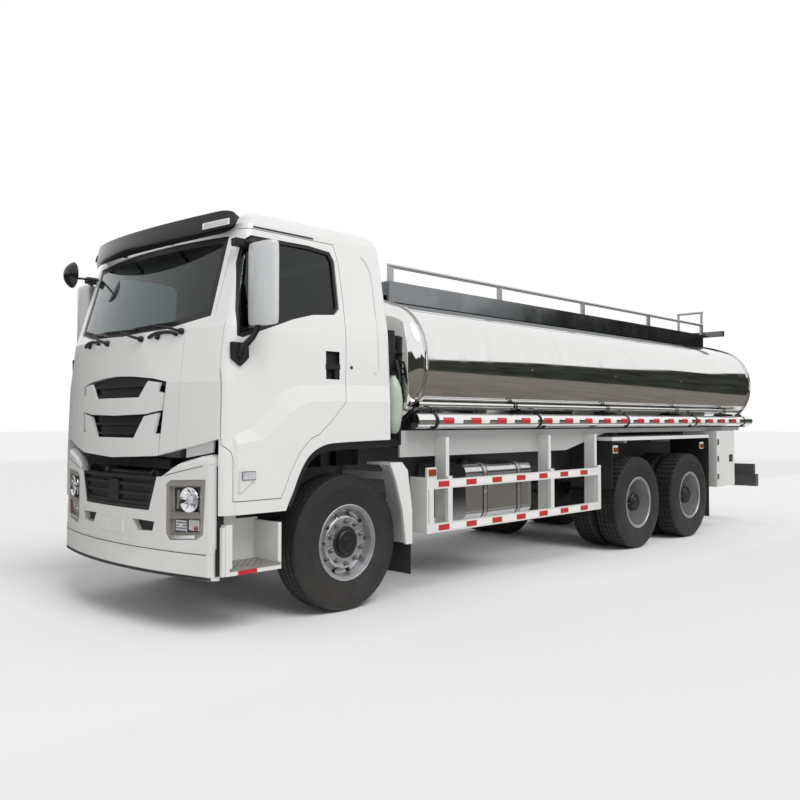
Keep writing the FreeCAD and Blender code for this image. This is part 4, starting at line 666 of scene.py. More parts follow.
class TankerStage(bpy.types.PropertyGroup):
    """Floor, light and camera."""

    floor_white: bpy.props.FloatProperty(
        name="Floor white", description="Brightness of the floor's colour",
        default=0.90, min=0.0, max=1.0)
    sky_strength: bpy.props.FloatProperty(
        name="Soft light", description="Strength of the even light from all round",
        default=0.55, min=0.0, max=2.0)
    key_strength: bpy.props.FloatProperty(
        name="Key light", description="Strength of the wide lamp over the camera",
        default=1.7, min=0.0, max=10.0)
    lens: bpy.props.FloatProperty(
        name="Lens", description="Focal length of the camera in millimetres",
        default=37.18, min=10.0, max=200.0)


# Stage

def stage_mesh(name, corners, faces, material):
    mesh = bpy.data.meshes.new(name)
    mesh.from_pydata(corners, [], faces)
    mesh.materials.append(material)
    made = bpy.data.objects.new(name, mesh)
    bpy.context.scene.collection.objects.link(made)
    return made


def stage_plane(name, x_low, x_high, y_low, y_high, z, material):
    corners = [(x_low, y_low, z), (x_high, y_low, z), (x_high, y_high, z), (x_low, y_high, z)]
    return stage_mesh(name, corners, [(0, 1, 2, 3)], material)


def only_in_reflections(thing):
    """Shows a studio card in polished metal only."""
    thing.visible_camera = False
    thing.visible_diffuse = False
    thing.visible_transmission = False
    thing.visible_shadow = False
    thing.visible_volume_scatter = False


class TANKER_OT_stage(bpy.types.Operator):
    """Makes the floor, the light and the camera"""

    bl_idname = "tanker.stage"
    bl_label = "Stage"

    def execute(self, context):
        scene = context.scene
        scene.view_settings.view_transform = "Standard"
        self.floor(scene.tanker_stage)
        self.cards()
        self.light(scene, scene.tanker_stage)
        self.camera(scene, scene.tanker_stage)
        return {"FINISHED"}

    def floor(self, settings):
        material, tree, surface = start_material("Studio floor", Roughness=0.9)
        tone = spread(tree, noise(tree, place_coordinates(tree), 0.4, 3.0), 0.2, 0.8, 0.985, 1.0)
        pale = (settings.floor_white,) * 3
        link(tree, blended(tree, tone, toned(pale, 0.97), pale), surface.inputs["Base Color"])
        stage_plane("studio_floor", -120.0, 120.0, -120.0, 120.0, 0.0, material)

    def light(self, scene, settings):
        """Even light, stronger where it is seen than where it falls, and a wide lamp."""
        world = bpy.data.worlds.new("Studio light")
        scene.world = world
        world.use_nodes = True
        tree = world.node_tree
        background = tree.nodes["Background"]
        background.inputs["Color"].default_value = (1.0, 1.0, 1.0, 1.0)
        path = add_node(tree, "ShaderNodeLightPath")
        seen = maths(tree, "MAXIMUM", path.outputs["Is Camera Ray"], path.outputs["Is Glossy Ray"])
        seen = maths(tree, "MAXIMUM", seen, path.outputs["Is Transmission Ray"])
        strength = spread(tree, seen, 0.0, 1.0, settings.sky_strength, 1.0)
        link(tree, strength, background.inputs["Strength"])
        lamp = bpy.data.lights.new("key_lamp", "SUN")
        lamp.energy = settings.key_strength
        lamp.angle = math.radians(35)
        key = bpy.data.objects.new("key_lamp", lamp)
        scene.collection.objects.link(key)
        key.rotation_euler = Vector((0.12, 0.95, 1.15)).to_track_quat("Z", "Y").to_euler()

    def camera(self, scene, settings):
        """Camera where the photo was taken from."""
        lens = bpy.data.cameras.new("camera")
        lens.lens = settings.lens
        lens.sensor_width = 36.0
        lens.clip_end = 400.0
        camera = bpy.data.objects.new("camera", lens)
        scene.collection.objects.link(camera)
        camera.location = (AXLE_X + 4.434, 6.047, 1.499)
        yaw, pitch = math.radians(224.159), math.radians(1.496)
        level = math.cos(pitch)
        aim = Vector((math.cos(yaw) * level, math.sin(yaw) * level, math.sin(pitch)))
        camera.rotation_euler = aim.to_track_quat("-Z", "Y").to_euler()
        scene.camera = camera

    def cards(self):
        """Dark ring and grey ground that are seen in reflections only, as yards and trees would be."""
        dark, tree, surface = start_material("Dark card", Roughness=1.0)
        leaves = spread(tree, noise(tree, place_coordinates(tree), 0.9, 8.0, 0.7), 0.35, 0.65)
        shade = blended(tree, leaves, (0.01, 0.012, 0.01), (0.07, 0.08, 0.06))
        link(tree, shade, surface.inputs["Base Color"])
        ground, tree, surface = start_material("Ground card", Roughness=1.0)
        gravel = spread(tree, noise(tree, place_coordinates(tree), 1.3, 8.0, 0.7), 0.3, 0.7)
        grit = blended(tree, gravel, (0.12, 0.105, 0.09), (0.26, 0.235, 0.21))
        link(tree, grit, surface.inputs["Base Color"])
        corners, faces = [], []
        steps, radius = 48, 26.0
        for index in range(steps):
            angle = 2 * math.pi * index / steps
            x, y = radius * math.cos(angle), radius * math.sin(angle)
            top = 6.2 + 1.2 * math.sin(5 * angle) + 0.7 * math.sin(13 * angle + 1.0)
            corners += [(x, y, 0.0), (x, y, top)]
            after = (index + 1) % steps
            faces.append((2 * index, 2 * after, 2 * after + 1, 2 * index + 1))
        only_in_reflections(stage_mesh("reflection_ring", corners, faces, dark))
        for index, (low, high) in enumerate(((2.2, 25.5), (-25.5, -2.2))):
            card = stage_plane(f"reflection_ground_{index}", -25.5, 25.5, low, high, 0.004, ground)
            only_in_reflections(card)


class TANKER_OT_finishes(bpy.types.Operator):
    """Gives every node of the frame its material"""

    bl_idname = "tanker.finishes"
    bl_label = "Finishes"

    def execute(self, context):
        make_materials(context.scene.tanker_paint)
        for finish, names in NODE_FINISHES.items():
            for name in names:
                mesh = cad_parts[name].data
                mesh.materials.clear()
                mesh.materials.append(MATERIALS[finish])
        return {"FINISHED"}


# Label, body, place of the outer wheel along and across, and the side it faces
WHEELS = (
    ("front_left", "wheel_front_left", 0.0, 1.03, 1),
    ("front_right", "wheel_front_right", 0.0, -1.03, -1),
    ("rear_1_left", "wheels_rear_1_left", -4.6, 1.09, 1),
    ("rear_1_right", "wheels_rear_1_right", -4.6, -1.09, -1),
    ("rear_2_left", "wheels_rear_2_left", -5.97, 1.09, 1),
    ("rear_2_right", "wheels_rear_2_right", -5.97, -1.09, -1),
)


class TANKER_OT_tyres(bpy.types.Operator):
    """Makes the tyres with ribs in front and lugs at the back"""

    bl_idname = "tanker.tyres"
    bl_label = "Tyres"

    SIDE = ((0.122, 0.2865), (0.132, 0.292), (0.1365, 0.303), (0.1345, 0.316), (0.138, 0.330),
            (0.1435, 0.350), (0.1475, 0.375), (0.1492, 0.396), (0.1478, 0.402), (0.1478, 0.406),
            (0.1492, 0.412), (0.1478, 0.440), (0.1438, 0.468), (0.1425, 0.470), (0.1418, 0.478),
            (0.1375, 0.498), (0.1300, 0.512), (0.1330, 0.516), (0.1305, 0.524), (0.1210, 0.5345))
    GROOVES = (-0.078, -0.028, 0.028, 0.078)
    SHOULDER = 0.108
    TWIN = 0.34

    def execute(self, context):
        for label, body, x, y, side in WHEELS:
            form = Form()
            front = body.startswith("wheel_")
            self.tyre(form, x, y, side, front)
            node = f"tyre_{label}"
            if not front:
                self.tyre(form, x, y - side * self.TWIN, -side, front)
                node = f"tyres_{label}"
            form.piece(f"treaded_{node}", "tyre", body, sharp=40, replaces=(node,))
        return {"FINISHED"}

    def tyre(self, form, x, y, side, ribbed):
        """One tyre: the same section again and again round the axle, sunk where a cut crosses the tread."""
        pitches = 50 if ribbed else 46
        edges = (0.0, 0.012, 0.052, 0.064) if ribbed else (0.0, 0.03, 0.23, 0.27)
        sections = [self.section(side, sunk, ribbed) for sunk in (False, True)]
        points, faces = [], []
        for pitch in range(pitches):
            for share, section in zip(edges, (sections[0], sections[1], sections[1], sections[0])):
                for along, radius, shift in section:
                    turn = 2 * math.pi * (pitch + share + shift) / pitches
                    points.append((x + radius * math.cos(turn), y + along,
                                   WHEEL_HEIGHT + radius * math.sin(turn)))
        rings, count = pitches * len(edges), len(sections[0])
        for ring in range(rings):
            after = (ring + 1) % rings
            for index in range(count):
                beside = (index + 1) % count
                faces.append((ring * count + index, ring * count + beside, after * count + beside,
                              after * count + index))
        form.add(points, faces)

    def section(self, side, sunk, ribbed):
        """Wall, tread and wall as points: along the axle, radius and how far on round the wheel they lie."""
        slant = 0.5 if ribbed else 0.22
        wall = []
        for along, radius in self.SIDE:
            lug = 0.004 if sunk and not ribbed and radius > 0.515 else 0.0
            wall.append((along - lug, radius, slant * min(1.0, max(0.0, (radius - 0.45) / 0.08))))
        tread = [(-self.SHOULDER, 0)]
        for middle in self.GROOVES:
            tread += [(middle - 0.0075, 0), (middle - 0.0055, 1), (middle + 0.0055, 1), (middle + 0.0075, 0)]
        tread.append((self.SHOULDER, 0))
        section = [(-side * along, radius, shift) for along, radius, shift in wall]
        for along, low in tread:
            depth = 0.015 if low else (0.011 if sunk and (not ribbed or abs(along) > 0.07) else 0.0)
            crown = 0.5405 - 0.22 * along ** 2
            section.append((side * along, crown - depth, slant * abs(along) / self.SHOULDER))
        return section + [(side * along, radius, shift) for along, radius, shift in reversed(wall)]


class TANKER_OT_wheel_fittings(bpy.types.Operator):
    """Makes the front rims and every wheel's nuts, hub cap, rim lip and valve"""

    bl_idname = "tanker.wheel_fittings"
    bl_label = "Wheel fittings"

    WASHER = ((-0.002, 0.0), (-0.002, 0.022), (0.005, 0.022), (0.006, 0.0205))
    NUT = ((0.004, 0.0), (0.004, 0.0175), (0.028, 0.0175), (0.031, 0.015), (0.031, 0.0))
    STUD = ((0.030, 0.0), (0.030, 0.0105), (0.044, 0.0105), (0.047, 0.008), (0.047, 0.0))
    CAP_BOLT = ((0.0, 0.0), (0.0, 0.009), (0.006, 0.009), (0.0075, 0.007), (0.0075, 0.0))
    FRONT_HUB = ((-0.010, 0.127), (0.004, 0.126), (0.009, 0.118), (0.011, 0.101), (0.030, 0.096),
                 (0.036, 0.088), (0.038, 0.050), (0.046, 0.045), (0.049, 0.030), (0.050, 0.0))
    REAR_HUB = ((0.158, 0.118), (0.170, 0.116), (0.174, 0.111), (0.200, 0.104), (0.206, 0.098),
                (0.208, 0.060), (0.213, 0.054), (0.215, 0.0))
    LIP = ((-0.012, 0.2852), (0.000, 0.2860), (0.0065, 0.2900), (0.0085, 0.2965), (0.0065, 0.3010),
           (0.0030, 0.3015), (0.0015, 0.2970), (-0.001, 0.2905), (-0.012, 0.2835))
    DISH = ((0.1295, 0.2855), (0.1295, 0.270), (0.122, 0.2655), (0.088, 0.2625), (0.062, 0.2595),
            (0.050, 0.252), (0.046, 0.243), (0.049, 0.232), (0.060, 0.222), (0.080, 0.214), (0.095, 0.207),
            (0.1005, 0.198), (0.1015, 0.188), (0.1015, 0.115), (0.088, 0.113), (0.088, 0.190),
            (0.078, 0.203), (0.052, 0.213), (0.038, 0.228), (0.034, 0.243), (0.038, 0.258), (0.040, 0.264),
            (-0.1295, 0.266), (-0.1295, 0.2855), (0.1295, 0.2855))
    VALVE = ((0.235, 0.095), (0.243, 0.125), (0.247, 0.150))

    def execute(self, context):
        for label, body, x, y, side in WHEELS:
            if body.startswith("wheel_"):
                self.dished_rim(label, body, (x, y, WHEEL_HEIGHT), side)
                face, nut_ring, outline, bolt_ring, bolt_lift = 0.102, 0.1675, self.FRONT_HUB, 0.069, 0.035
            else:
                face, nut_ring, outline, bolt_ring, bolt_lift = -0.110, 0.176, self.REAR_HUB, 0.080, 0.206
            face = y + side * face
            nuts = Form()
            for spot in self.ring(x, face, nut_ring, 10, 0.5):
                for profile, steps in ((self.WASHER, 24), (self.NUT, 6), (self.STUD, 16)):
                    nuts.turned(facing(side, profile), spot, steps=steps)
            nuts.piece(f"nuts_{label}", "nut", body, sharp=25)
            hub = Form().turned(facing(side, outline), (x, face, WHEEL_HEIGHT), steps=64)
            for spot in self.ring(x, face + side * bolt_lift, bolt_ring, 8):
                hub.turned(facing(side, self.CAP_BOLT), spot, steps=6)
            hub.piece(f"hub_{label}", "hub", body, sharp=25)
            lip = Form().turned(facing(side, self.LIP), (x, y + side * 0.130, WHEEL_HEIGHT), steps=96)
            valve = [(x + along, y + side * out, WHEEL_HEIGHT) for along, out in self.VALVE]
            lip.tube(valve, [0.006, 0.005, 0.0045], 10)
            lip.piece(f"rim_lip_{label}", "rim", body, sharp=40)
        return {"FINISHED"}

    def ring(self, x, y, radius, count, shift=0.0):
        """Places spread evenly on a circle round the wheel's axis."""
        angles = [2 * math.pi * (index + shift) / count for index in range(count)]
        return [(x + radius * math.cos(turn), y, WHEEL_HEIGHT + radius * math.sin(turn)) for turn in angles]

    def dished_rim(self, label, body, centre, side):
        """Front rim: deep well behind the lip, ten hand holes in its foot and a raised bolt face."""
        x, y, _ = centre
        rim = Form().turned(facing(side, self.DISH), centre, steps=120)
        made = rim.piece(f"dished_rim_{label}", "rim", body, sharp=28, replaces=(f"rim_{label}",))
        rods = Form()
        starts = self.ring(x, y + side * 0.015, 0.262, 10)
        ends = self.ring(x, y + side * 0.100, 0.212, 10)
        for path in zip(starts, ends):
            rods.tube(path, 0.021, 24)
        cutter = bpy.data.objects.new("hand_hole_rods", rods.mesh("hand_hole_rods"))
        bpy.context.scene.collection.objects.link(cutter)
        cut = made.modifiers.new("hand_holes", "BOOLEAN")
        cut.operation = "DIFFERENCE"
        cut.solver = "EXACT"
        cut.object = cutter
        keep_modified(made)
        bpy.data.objects.remove(cutter)


class TANKER_OT_wheel_arches(bpy.types.Operator):
    """Rounds the front wheel arches and lines them with black lips"""

    bl_idname = "tanker.wheel_arches"
    bl_label = "Wheel arches"

    EDGE = ((-0.446, 1.350), (0.080, 1.340), (0.310, 1.330), (0.460, 1.255), (0.549, 1.130), (0.608, 0.995),
            (0.664, 0.888))
    LIP = ((-0.006, 0.018), (0.0, 0.014), (0.045, 0.020), (0.060, 0.034), (0.064, 0.075))
    MIDDLE = Vector((0.0, WHEEL_HEIGHT))

    def execute(self, context):
        corners = [Vector(corner) for corner in self.EDGE]
        middles = [(a + b) / 2 for a, b in zip(corners, corners[1:])]
        fill = Form()
        edge = [corners[0]]
        for before, corner, after in zip(middles, corners[1:], middles[1:]):
            rows = []
            for step in range(13):
                t = step / 12
                curve = before.lerp(corner, t).lerp(corner.lerp(after, t), t)
                straight = before.lerp(corner, 2 * t) if t < 0.5 else corner.lerp(after, 2 * t - 1)
                edge.append(curve)
                across = (straight, straight.lerp(curve, 0.5), curve)
                rows.append([self.beside(spot, straight) for spot in across])
            fill.skin(rows, -0.016, 0.0)
        edge.append(corners[-1])
        edge = [edge[0]] + [spot for before, spot in zip(edge, edge[1:]) if (spot - before).length > 1e-4]
        lip, rows = Form(), []
        for index, spot in enumerate(edge):
            along = (edge[min(index + 1, len(edge) - 1)] - edge[max(index - 1, 0)]).normalized()
            inward = Vector((along.y, -along.x))
            if inward.dot(self.MIDDLE - spot) < 0:
                inward = -inward
            row = []
            for reach, depth in self.LIP:
                place, normal = self.beside(spot + inward * reach, spot)
                row.append((place - normal * depth, normal))
            rows.append(row)
        lip.skin(rows, -0.006, 0.0)
        fill.both().piece("arch_corners", "cab_paint", "cab")
        lip.both().piece("arch_lips", "black", "cab")
        return {"FINISHED"}

    def beside(self, spot, anchor):
        """Place on the cab's side for a spot in the arch, as wide as the skin outside the anchor."""
        out = (anchor - self.MIDDLE).normalized() * 0.02
        place, _ = on_side(max(anchor.x + out.x, -0.43), anchor.y + out.y, names=("cab_sides",))
        return Vector((spot.x, place.y, spot.y)), Vector((0, 1, 0))


class TANKER_OT_headlamps(bpy.types.Operator):
    """Makes the reflectors, bulbs and bright bars of the headlamps"""

    bl_idname = "tanker.headlamps"
    bl_label = "Headlamps"

    UPPER_BACK = ((-0.16, -0.088), (0.088, -0.088), (0.10, 0.092), (-0.165, 0.078))
    LOWER_BACK = ((-0.13, -0.052), (0.125, -0.036), (0.135, 0.052), (-0.13, 0.04))
    BOWL = ((0.003, 0.0), (0.003, 0.018), (0.005, 0.036), (0.011, 0.058), (0.019, 0.074), (0.026, 0.083),
            (0.028, 0.087), (0.024, 0.090), (0.001, 0.090))
    MAIN_BULB = ((0.004, 0.034), (0.012, 0.033), (0.020, 0.027), (0.026, 0.016), (0.028, 0.0))
    SIDE_BULB = ((0.004, 0.018), (0.012, 0.016), (0.017, 0.008), (0.018, 0.0))
    SIGNAL_BULB = ((0.004, 0.019), (0.013, 0.017), (0.019, 0.009), (0.020, 0.0))

    def execute(self, context):
        upper = on_front(0.915, 0.948, ("headlamps",))
        lower = on_front(0.885, 0.762, ("headlamps",))
        back, chrome, lens, amber = Form(), Form(), Form(), Form()
        back.plate(self.UPPER_BACK, 0.0005, 0.003, upper)
        back.plate(self.LOWER_BACK, 0.0005, 0.003, lower)
        chrome.knob(self.BOWL, 56, upper)
        for index in range(9):
            angle = math.radians(20 + 35 * index)
            inner = (0.030 * math.cos(angle), 0.030 * math.sin(angle), 0.008)
            outer = (0.076 * math.cos(angle + 0.25), 0.076 * math.sin(angle + 0.25), 0.021)
            chrome.join(Form().tube([inner, outer], [0.002, 0.0035], 8).placed(upper))
        lens.knob(self.MAIN_BULB, 40, upper)
        for x in (-0.118, 0.105):
            post = ((x - 0.014, -0.07), (x + 0.010, -0.07), (x + 0.014, 0.065), (x - 0.010, 0.06))
            chrome.plate(post, 0.003, 0.012, upper)
        chrome.block((-0.004, 0.006), (-0.045, 0.045), (0.003, 0.014), lower)
        for level in (-0.030, -0.010, 0.010, 0.030):
            lens.block((-0.118, -0.008), (level - 0.008, level + 0.007), (0.003, 0.007), lower)
        lens.knob(self.SIDE_BULB, 24, lower, -0.065)
        lens.block((0.012, 0.118), (-0.03, 0.045), (0.003, 0.006), lower)
        amber.knob(self.SIGNAL_BULB, 24, lower, 0.085, -0.014)
        for z, low, high, tall in ((0.836, 0.735, 1.025, 0.026), (0.674, 0.745, 0.985, 0.022)):
            shares = [step / 8 for step in range(9)]
            path = [on_front(low + (high - low) * t, z + 0.02 * t, ("headlamps",)) for t in shares]
            chrome.ribbon(path, tall, 0.006)
        back.both().piece("lamp_backs", "black", "chassis", 0.001)
        chrome.both().piece("lamp_reflectors", "chrome", "chassis", 0.0015)
        lens.both().piece("lamp_lenses", "clear", "chassis", 0.001)
        amber.both().piece("lamp_signals", "amber", "chassis")
        return {"FINISHED"}


class TANKER_OT_markings(bpy.types.Operator):
    """Makes the red and white tape, side lamps and reflectors"""

    bl_idname = "tanker.markings"
    bl_label = "Markings"

    # Side tube: across, up and radius
    TUBE = (1.17, 1.505, 0.0702)

    def execute(self, context):
        self.red, self.white, self.amber = Form(), Form(), Form()
        self.clamps, self.holder = Form(), Form()
        self.tube_tape()
        self.guard_tape()
        self.lamps()
        self.holder.both().piece("marker_brackets", "body_paint", "chassis", 0.003)
        self.red.both().piece("red_tape", "tape", "chassis", 0.0003)
        self.white.both().piece("white_tape", "tape_white", "chassis", 0.0003)
        self.amber.both().piece("side_marker_lamps", "amber", "chassis", 0.003)
        self.clamps.both().piece("tube_clamps", "black", "chassis", 0.001)
        return {"FINISHED"}

    def tube_tape(self):
        """Tape along the side tube, its clamps and those of the pipe above it."""
        y, z, radius = self.TUBE
        start = -1.07
        while start > -7.6:
            self.band(self.red, start - 0.145, start)
            self.band(self.white, start - 0.27, start - 0.147)
            start -= 0.39
        for x in (-0.99, -2.57, -4.36, -6.17, -7.77):
            ring = ((x - 0.022, radius - 0.002), (x - 0.022, radius + 0.003), (x + 0.022, radius + 0.003),
                    (x + 0.022, radius - 0.002))
            self.clamps.turned(ring, (0, y, z), "X", 40)
            self.clamps.slab((x - 0.016, x + 0.016), (y - 0.012, y + 0.012), (z + 0.07, z + 0.092))
        for x in (-2.23, -4.0, -5.73, -7.2):
            ring = ((x - 0.012, 0.036), (x - 0.012, 0.041), (x + 0.012, 0.041), (x + 0.012, 0.036))
            self.clamps.turned(ring, (0, 1.15, 1.65), "X", 24)

    def band(self, form, low, high):
        y, z, radius = self.TUBE
        profile = ((low, radius - 0.001), (low, radius + 0.0012), (high, radius + 0.0012),
                   (high, radius - 0.001))
        form.turned(profile, (0, y, z), "X", 8, -0.32, 0.76)

    def guard_tape(self):
        """Tape along both rails of the side guard."""
        for index in range(7):
            first = -1.00 - 0.383 * index
            strips = ((self.red, first - 0.145, first), (self.white, first - 0.375, first - 0.152))
            for level in (0.95, 0.57):
                for form, begin, end in strips:
                    if begin < -3.66:
                        continue
                    spots = [on_side(begin + (end - begin) * step / 2, level, 1, ("side_guards",))
                             for step in range(3)]
                    form.ribbon(spots, 0.05, 0.0012)

    def lamps(self):
        """Side lamps on their brackets and the reflector on the cab's step."""
        outward = Vector((0, 1, 0))
        for x in (-4.09, -6.36):
            self.holder.slab((x - 0.055, x + 0.055), (1.206, 1.214), (1.135, 1.225))
            spot = (Vector((x, 1.214, 1.175)), outward)
            self.amber.block((-0.045, 0.045), (-0.026, 0.026), (0.0, 0.014), spot)
        post = on_side(-0.92, 0.95, 1, ("side_guards",))[0]
        self.holder.slab((post.x - 0.062, post.x + 0.062), (post.y - 0.03, post.y - 0.004), (0.985, 1.10))
        spot = (Vector((post.x, post.y - 0.004, 1.055)), outward)
        self.amber.block((-0.045, 0.045), (-0.028, 0.028), (0.0, 0.012), spot)
        step = on_side(1.0, 0.4475, 1, ("cab_steps",))
        self.red.block((-0.08, 0.08), (-0.0145, 0.0145), (0.0, 0.004), step)


class TANKER_OT_wipers(bpy.types.Operator):
    """Makes the three wipers and their brackets"""

    bl_idname = "tanker.wipers"
    bl_label = "Wipers"

    PIVOT = ((-0.004, 0.024), (0.016, 0.024), (0.024, 0.021), (0.030, 0.012), (0.031, 0.0))
    CAP = ((-0.004, 0.021), (0.014, 0.021), (0.022, 0.015), (0.024, 0.0))
    BRIDGE = ((-0.10, 0.004), (-0.06, 0.022), (0.0, 0.034), (0.08, 0.036), (0.16, 0.030), (0.22, 0.010))
    # Pivot and both ends of the blade, across and up
    WIPERS = (((-0.228, 2.121), (-0.86, 2.262), (-0.36, 2.186)),
              ((0.301, 2.120), (-0.34, 2.212), (0.20, 2.196)),
              ((0.768, 2.150), (0.16, 2.205), (0.68, 2.222)))

    def execute(self, context):
        arms, blades = Form(), Form()
        for pivot, low, high in self.WIPERS:
            arms.knob(self.PIVOT, 24, on_front(*pivot))
            middle = ((low[0] + high[0]) / 2, (low[1] + high[1]) / 2)
            line = []
            for share in (0.0, 0.1, 0.25, 0.4, 0.6, 0.8, 1.0):
                lift = 0.024 + 0.016 * math.sin(math.pi * min(1, share * 1.2))
                line.append(self.above(self.along(pivot, middle, share), lift))
            arms.tube(line, [0.012, 0.012, 0.010, 0.008, 0.006, 0.005, 0.006], 10)
            span = [self.along(low, high, step / 10) for step in range(11)]
            blades.tube([self.above(spot, 0.019) for spot in span], 0.0065, 8)
            blades.tube([self.above(spot, 0.009) for spot in span], 0.004, 6)
        for y in (-0.616, 0.505):
            arms.knob(self.CAP, 20, on_front(y, 2.124))
            bridge = [self.above((y + reach, 2.118 + rise), 0.014) for reach, rise in self.BRIDGE]
            arms.tube(bridge, [0.012, 0.014, 0.014, 0.013, 0.013, 0.015], 10)
        arms.piece("wiper_arms", "black", "cab")
        blades.piece("wiper_blades", "seal", "cab")
        return {"FINISHED"}

    def along(self, start, end, share):
        return start[0] + (end[0] - start[0]) * share, start[1] + (end[1] - start[1]) * share

    def above(self, spot, lift):
        place, normal = on_front(*spot)
        return place + normal * lift


class TANKER_OT_mirrors(bpy.types.Operator):
    """Makes the door mirrors with their glass, arms and base plates"""

    bl_idname = "tanker.mirrors"
    bl_label = "Mirrors"

    PLAN = ((1.014, 1.232), (1.030, 1.262), (1.028, 1.400), (1.016, 1.470), (0.992, 1.506), (0.960, 1.509),
            (0.945, 1.500), (0.945, 1.240), (0.965, 1.231))

    # Height of each ring of the case and its size beside the plan
    LEVELS = ((2.172, 0.88), (2.182, 0.95), (2.205, 0.99), (2.26, 1.0), (2.66, 1.0), (2.72, 0.985),
              (2.742, 0.95), (2.753, 0.88))
    BASE_PLATE = ((-0.075, 0.085), (0.072, 0.085), (0.075, -0.02), (0.004, -0.083), (-0.072, -0.03))

    def execute(self, context):
        arms, glass = Form(), Form()
        case = self.case(0.985, 1.37)
        for low, high in ((2.20, 2.34), (2.355, 2.725)):
            arms.slab((0.932, 0.947), (1.246, 1.496), (low, high))
            glass.slab((0.9305, 0.935), (1.256, 1.486), (low + 0.010, high - 0.010))
        base = Vector((1.085, on_side(1.085, 1.965)[0].y, 1.967))
        arms.plate(self.BASE_PLATE, -0.004, 0.022, (base, Vector((0, 1, 0))))
        arms.tube([(1.09, 1.240, 1.95), (1.075, 1.268, 2.02), (1.02, 1.300, 2.09),
                   (0.992, 1.318, 2.15), (0.990, 1.325, 2.20)], [0.030, 0.027, 0.021, 0.019, 0.019], 16)
        arms.slab((0.92, 1.085), (1.12, 1.184), (2.745, 2.80))
        arms.tube([(0.985, 1.16, 2.772), (0.985, 1.24, 2.770), (0.985, 1.33, 2.735)],
                  [0.024, 0.021, 0.018], 14)
        case.pair("mirror_case", "silver", "door", 0.006, 50, replaces=("mirror",))
        arms.pair("mirror_arms", "black", "door", 0.004)
        glass.pair("mirror_glass", "mirror", "door", 0.002)
        return {"FINISHED"}

    def case(self, x_middle, y_middle):
        """Housing of both glasses: the plan at every level, drawn in towards the middle at the ends."""
        count = len(self.PLAN)
        points, faces = [], [tuple(reversed(range(count)))]
        for z, size in self.LEVELS:
            points += [(x_middle + (x - x_middle) * size, y_middle + (y - y_middle) * size, z)
                       for x, y in self.PLAN]
        faces.append(tuple(range(len(points) - count, len(points))))
        for low in range(0, len(points) - count, count):
            for index in range(count):
                a, b = low + index, low + (index + 1) % count
                faces.append((a, b, b + count, a + count))
        return Form().add(points, faces)


class TANKER_OT_visor(bpy.types.Operator):
    """Makes the smoked sun visor with its rounded ends and marker lamps"""

    bl_idname = "tanker.visor"
    bl_label = "Sun visor"

    LINE = ((2.115, 2.838), (2.1145, 2.862), (2.111, 2.885), (2.102, 2.915), (2.090, 2.940), (2.073, 2.972),
            (2.055, 3.005))

    def execute(self, context):
        shell, lamps, rims, stays = Form(), Form(), Form(), Form()
        rows = []
        for step in range(61):
            degrees = -31.2 + 62.4 * step / 60
            bend = max(0.0, (abs(degrees) - 27.2) / 4.0)
            pull = 0.075 * (1 - math.sqrt(max(0.0, 1 - bend ** 2)))
            rows.append([self.spot(degrees, radius, 2.838 + pull + (z - 2.838) * (0.167 - 2 * pull) / 0.167)
                         for radius, z in self.LINE])
        pairs = []
        for i, row in enumerate(rows):
            line = []
            for j, place in enumerate(row):
                side = rows[min(i + 1, 60)][j] - rows[max(i - 1, 0)][j]
                up = row[min(j + 1, 6)] - row[max(j - 1, 0)]
                line.append((place, side.cross(up).normalized()))
            pairs.append(line)
        shell.skin(pairs, -0.009, 0.0)
        shell.piece("visor_shell", "visor", "cab", 0.003, 50, replaces=("sun_visor",))
        lamp_bands = ((rims, 0.83, 1.03, 0.050, 0.006), (lamps, 0.842, 1.018, 0.034, 0.009))
        for side in (1, -1):
            for form, low, high, tall, lift in lamp_bands:
                line = []
                for step in range(9):
                    y = side * (low + (high - low) * step / 8)
                    degrees = math.degrees(math.asin(y / 2.09))
                    place = self.spot(degrees, 2.1025, 2.915)
                    above = self.spot(degrees, 2.0905, 2.940)
                    beside = self.spot(degrees + side, 2.1025, 2.915)
                    normal = (beside - place).cross(above - place).normalized() * side
                    line.append((place, normal))
                form.ribbon(line, tall, lift)
        rims.piece("visor_lamp_rims", "chrome", "cab", 0.002)
        lamps.piece("visor_lamps", "clear", "cab", 0.002)
        for y, low, high in ((0.365, (1.07, 2.871), (1.255, 2.868)), (1.0, (0.92, 2.937), (1.02, 2.935))):
            stays.slab((low[0], high[0]), (y - 0.014, y + 0.014), (low[1] - 0.010, high[1] + 0.010))
        stays.both().piece("visor_stays", "black", "cab", 0.003)
        return {"FINISHED"}

    def spot(self, degrees, radius, z):
        """Place on the visor's curve, leant back by 15 degrees about its foot."""
        angle, lean = math.radians(degrees), math.radians(15)
        x, y = radius * math.cos(angle) - 0.8 - 1.15, radius * math.sin(angle)
        rise = z - 2.9
        return Vector((1.15 + x * math.cos(lean) + rise * math.sin(lean), y,
                       2.9 - x * math.sin(lean) + rise * math.cos(lean)))


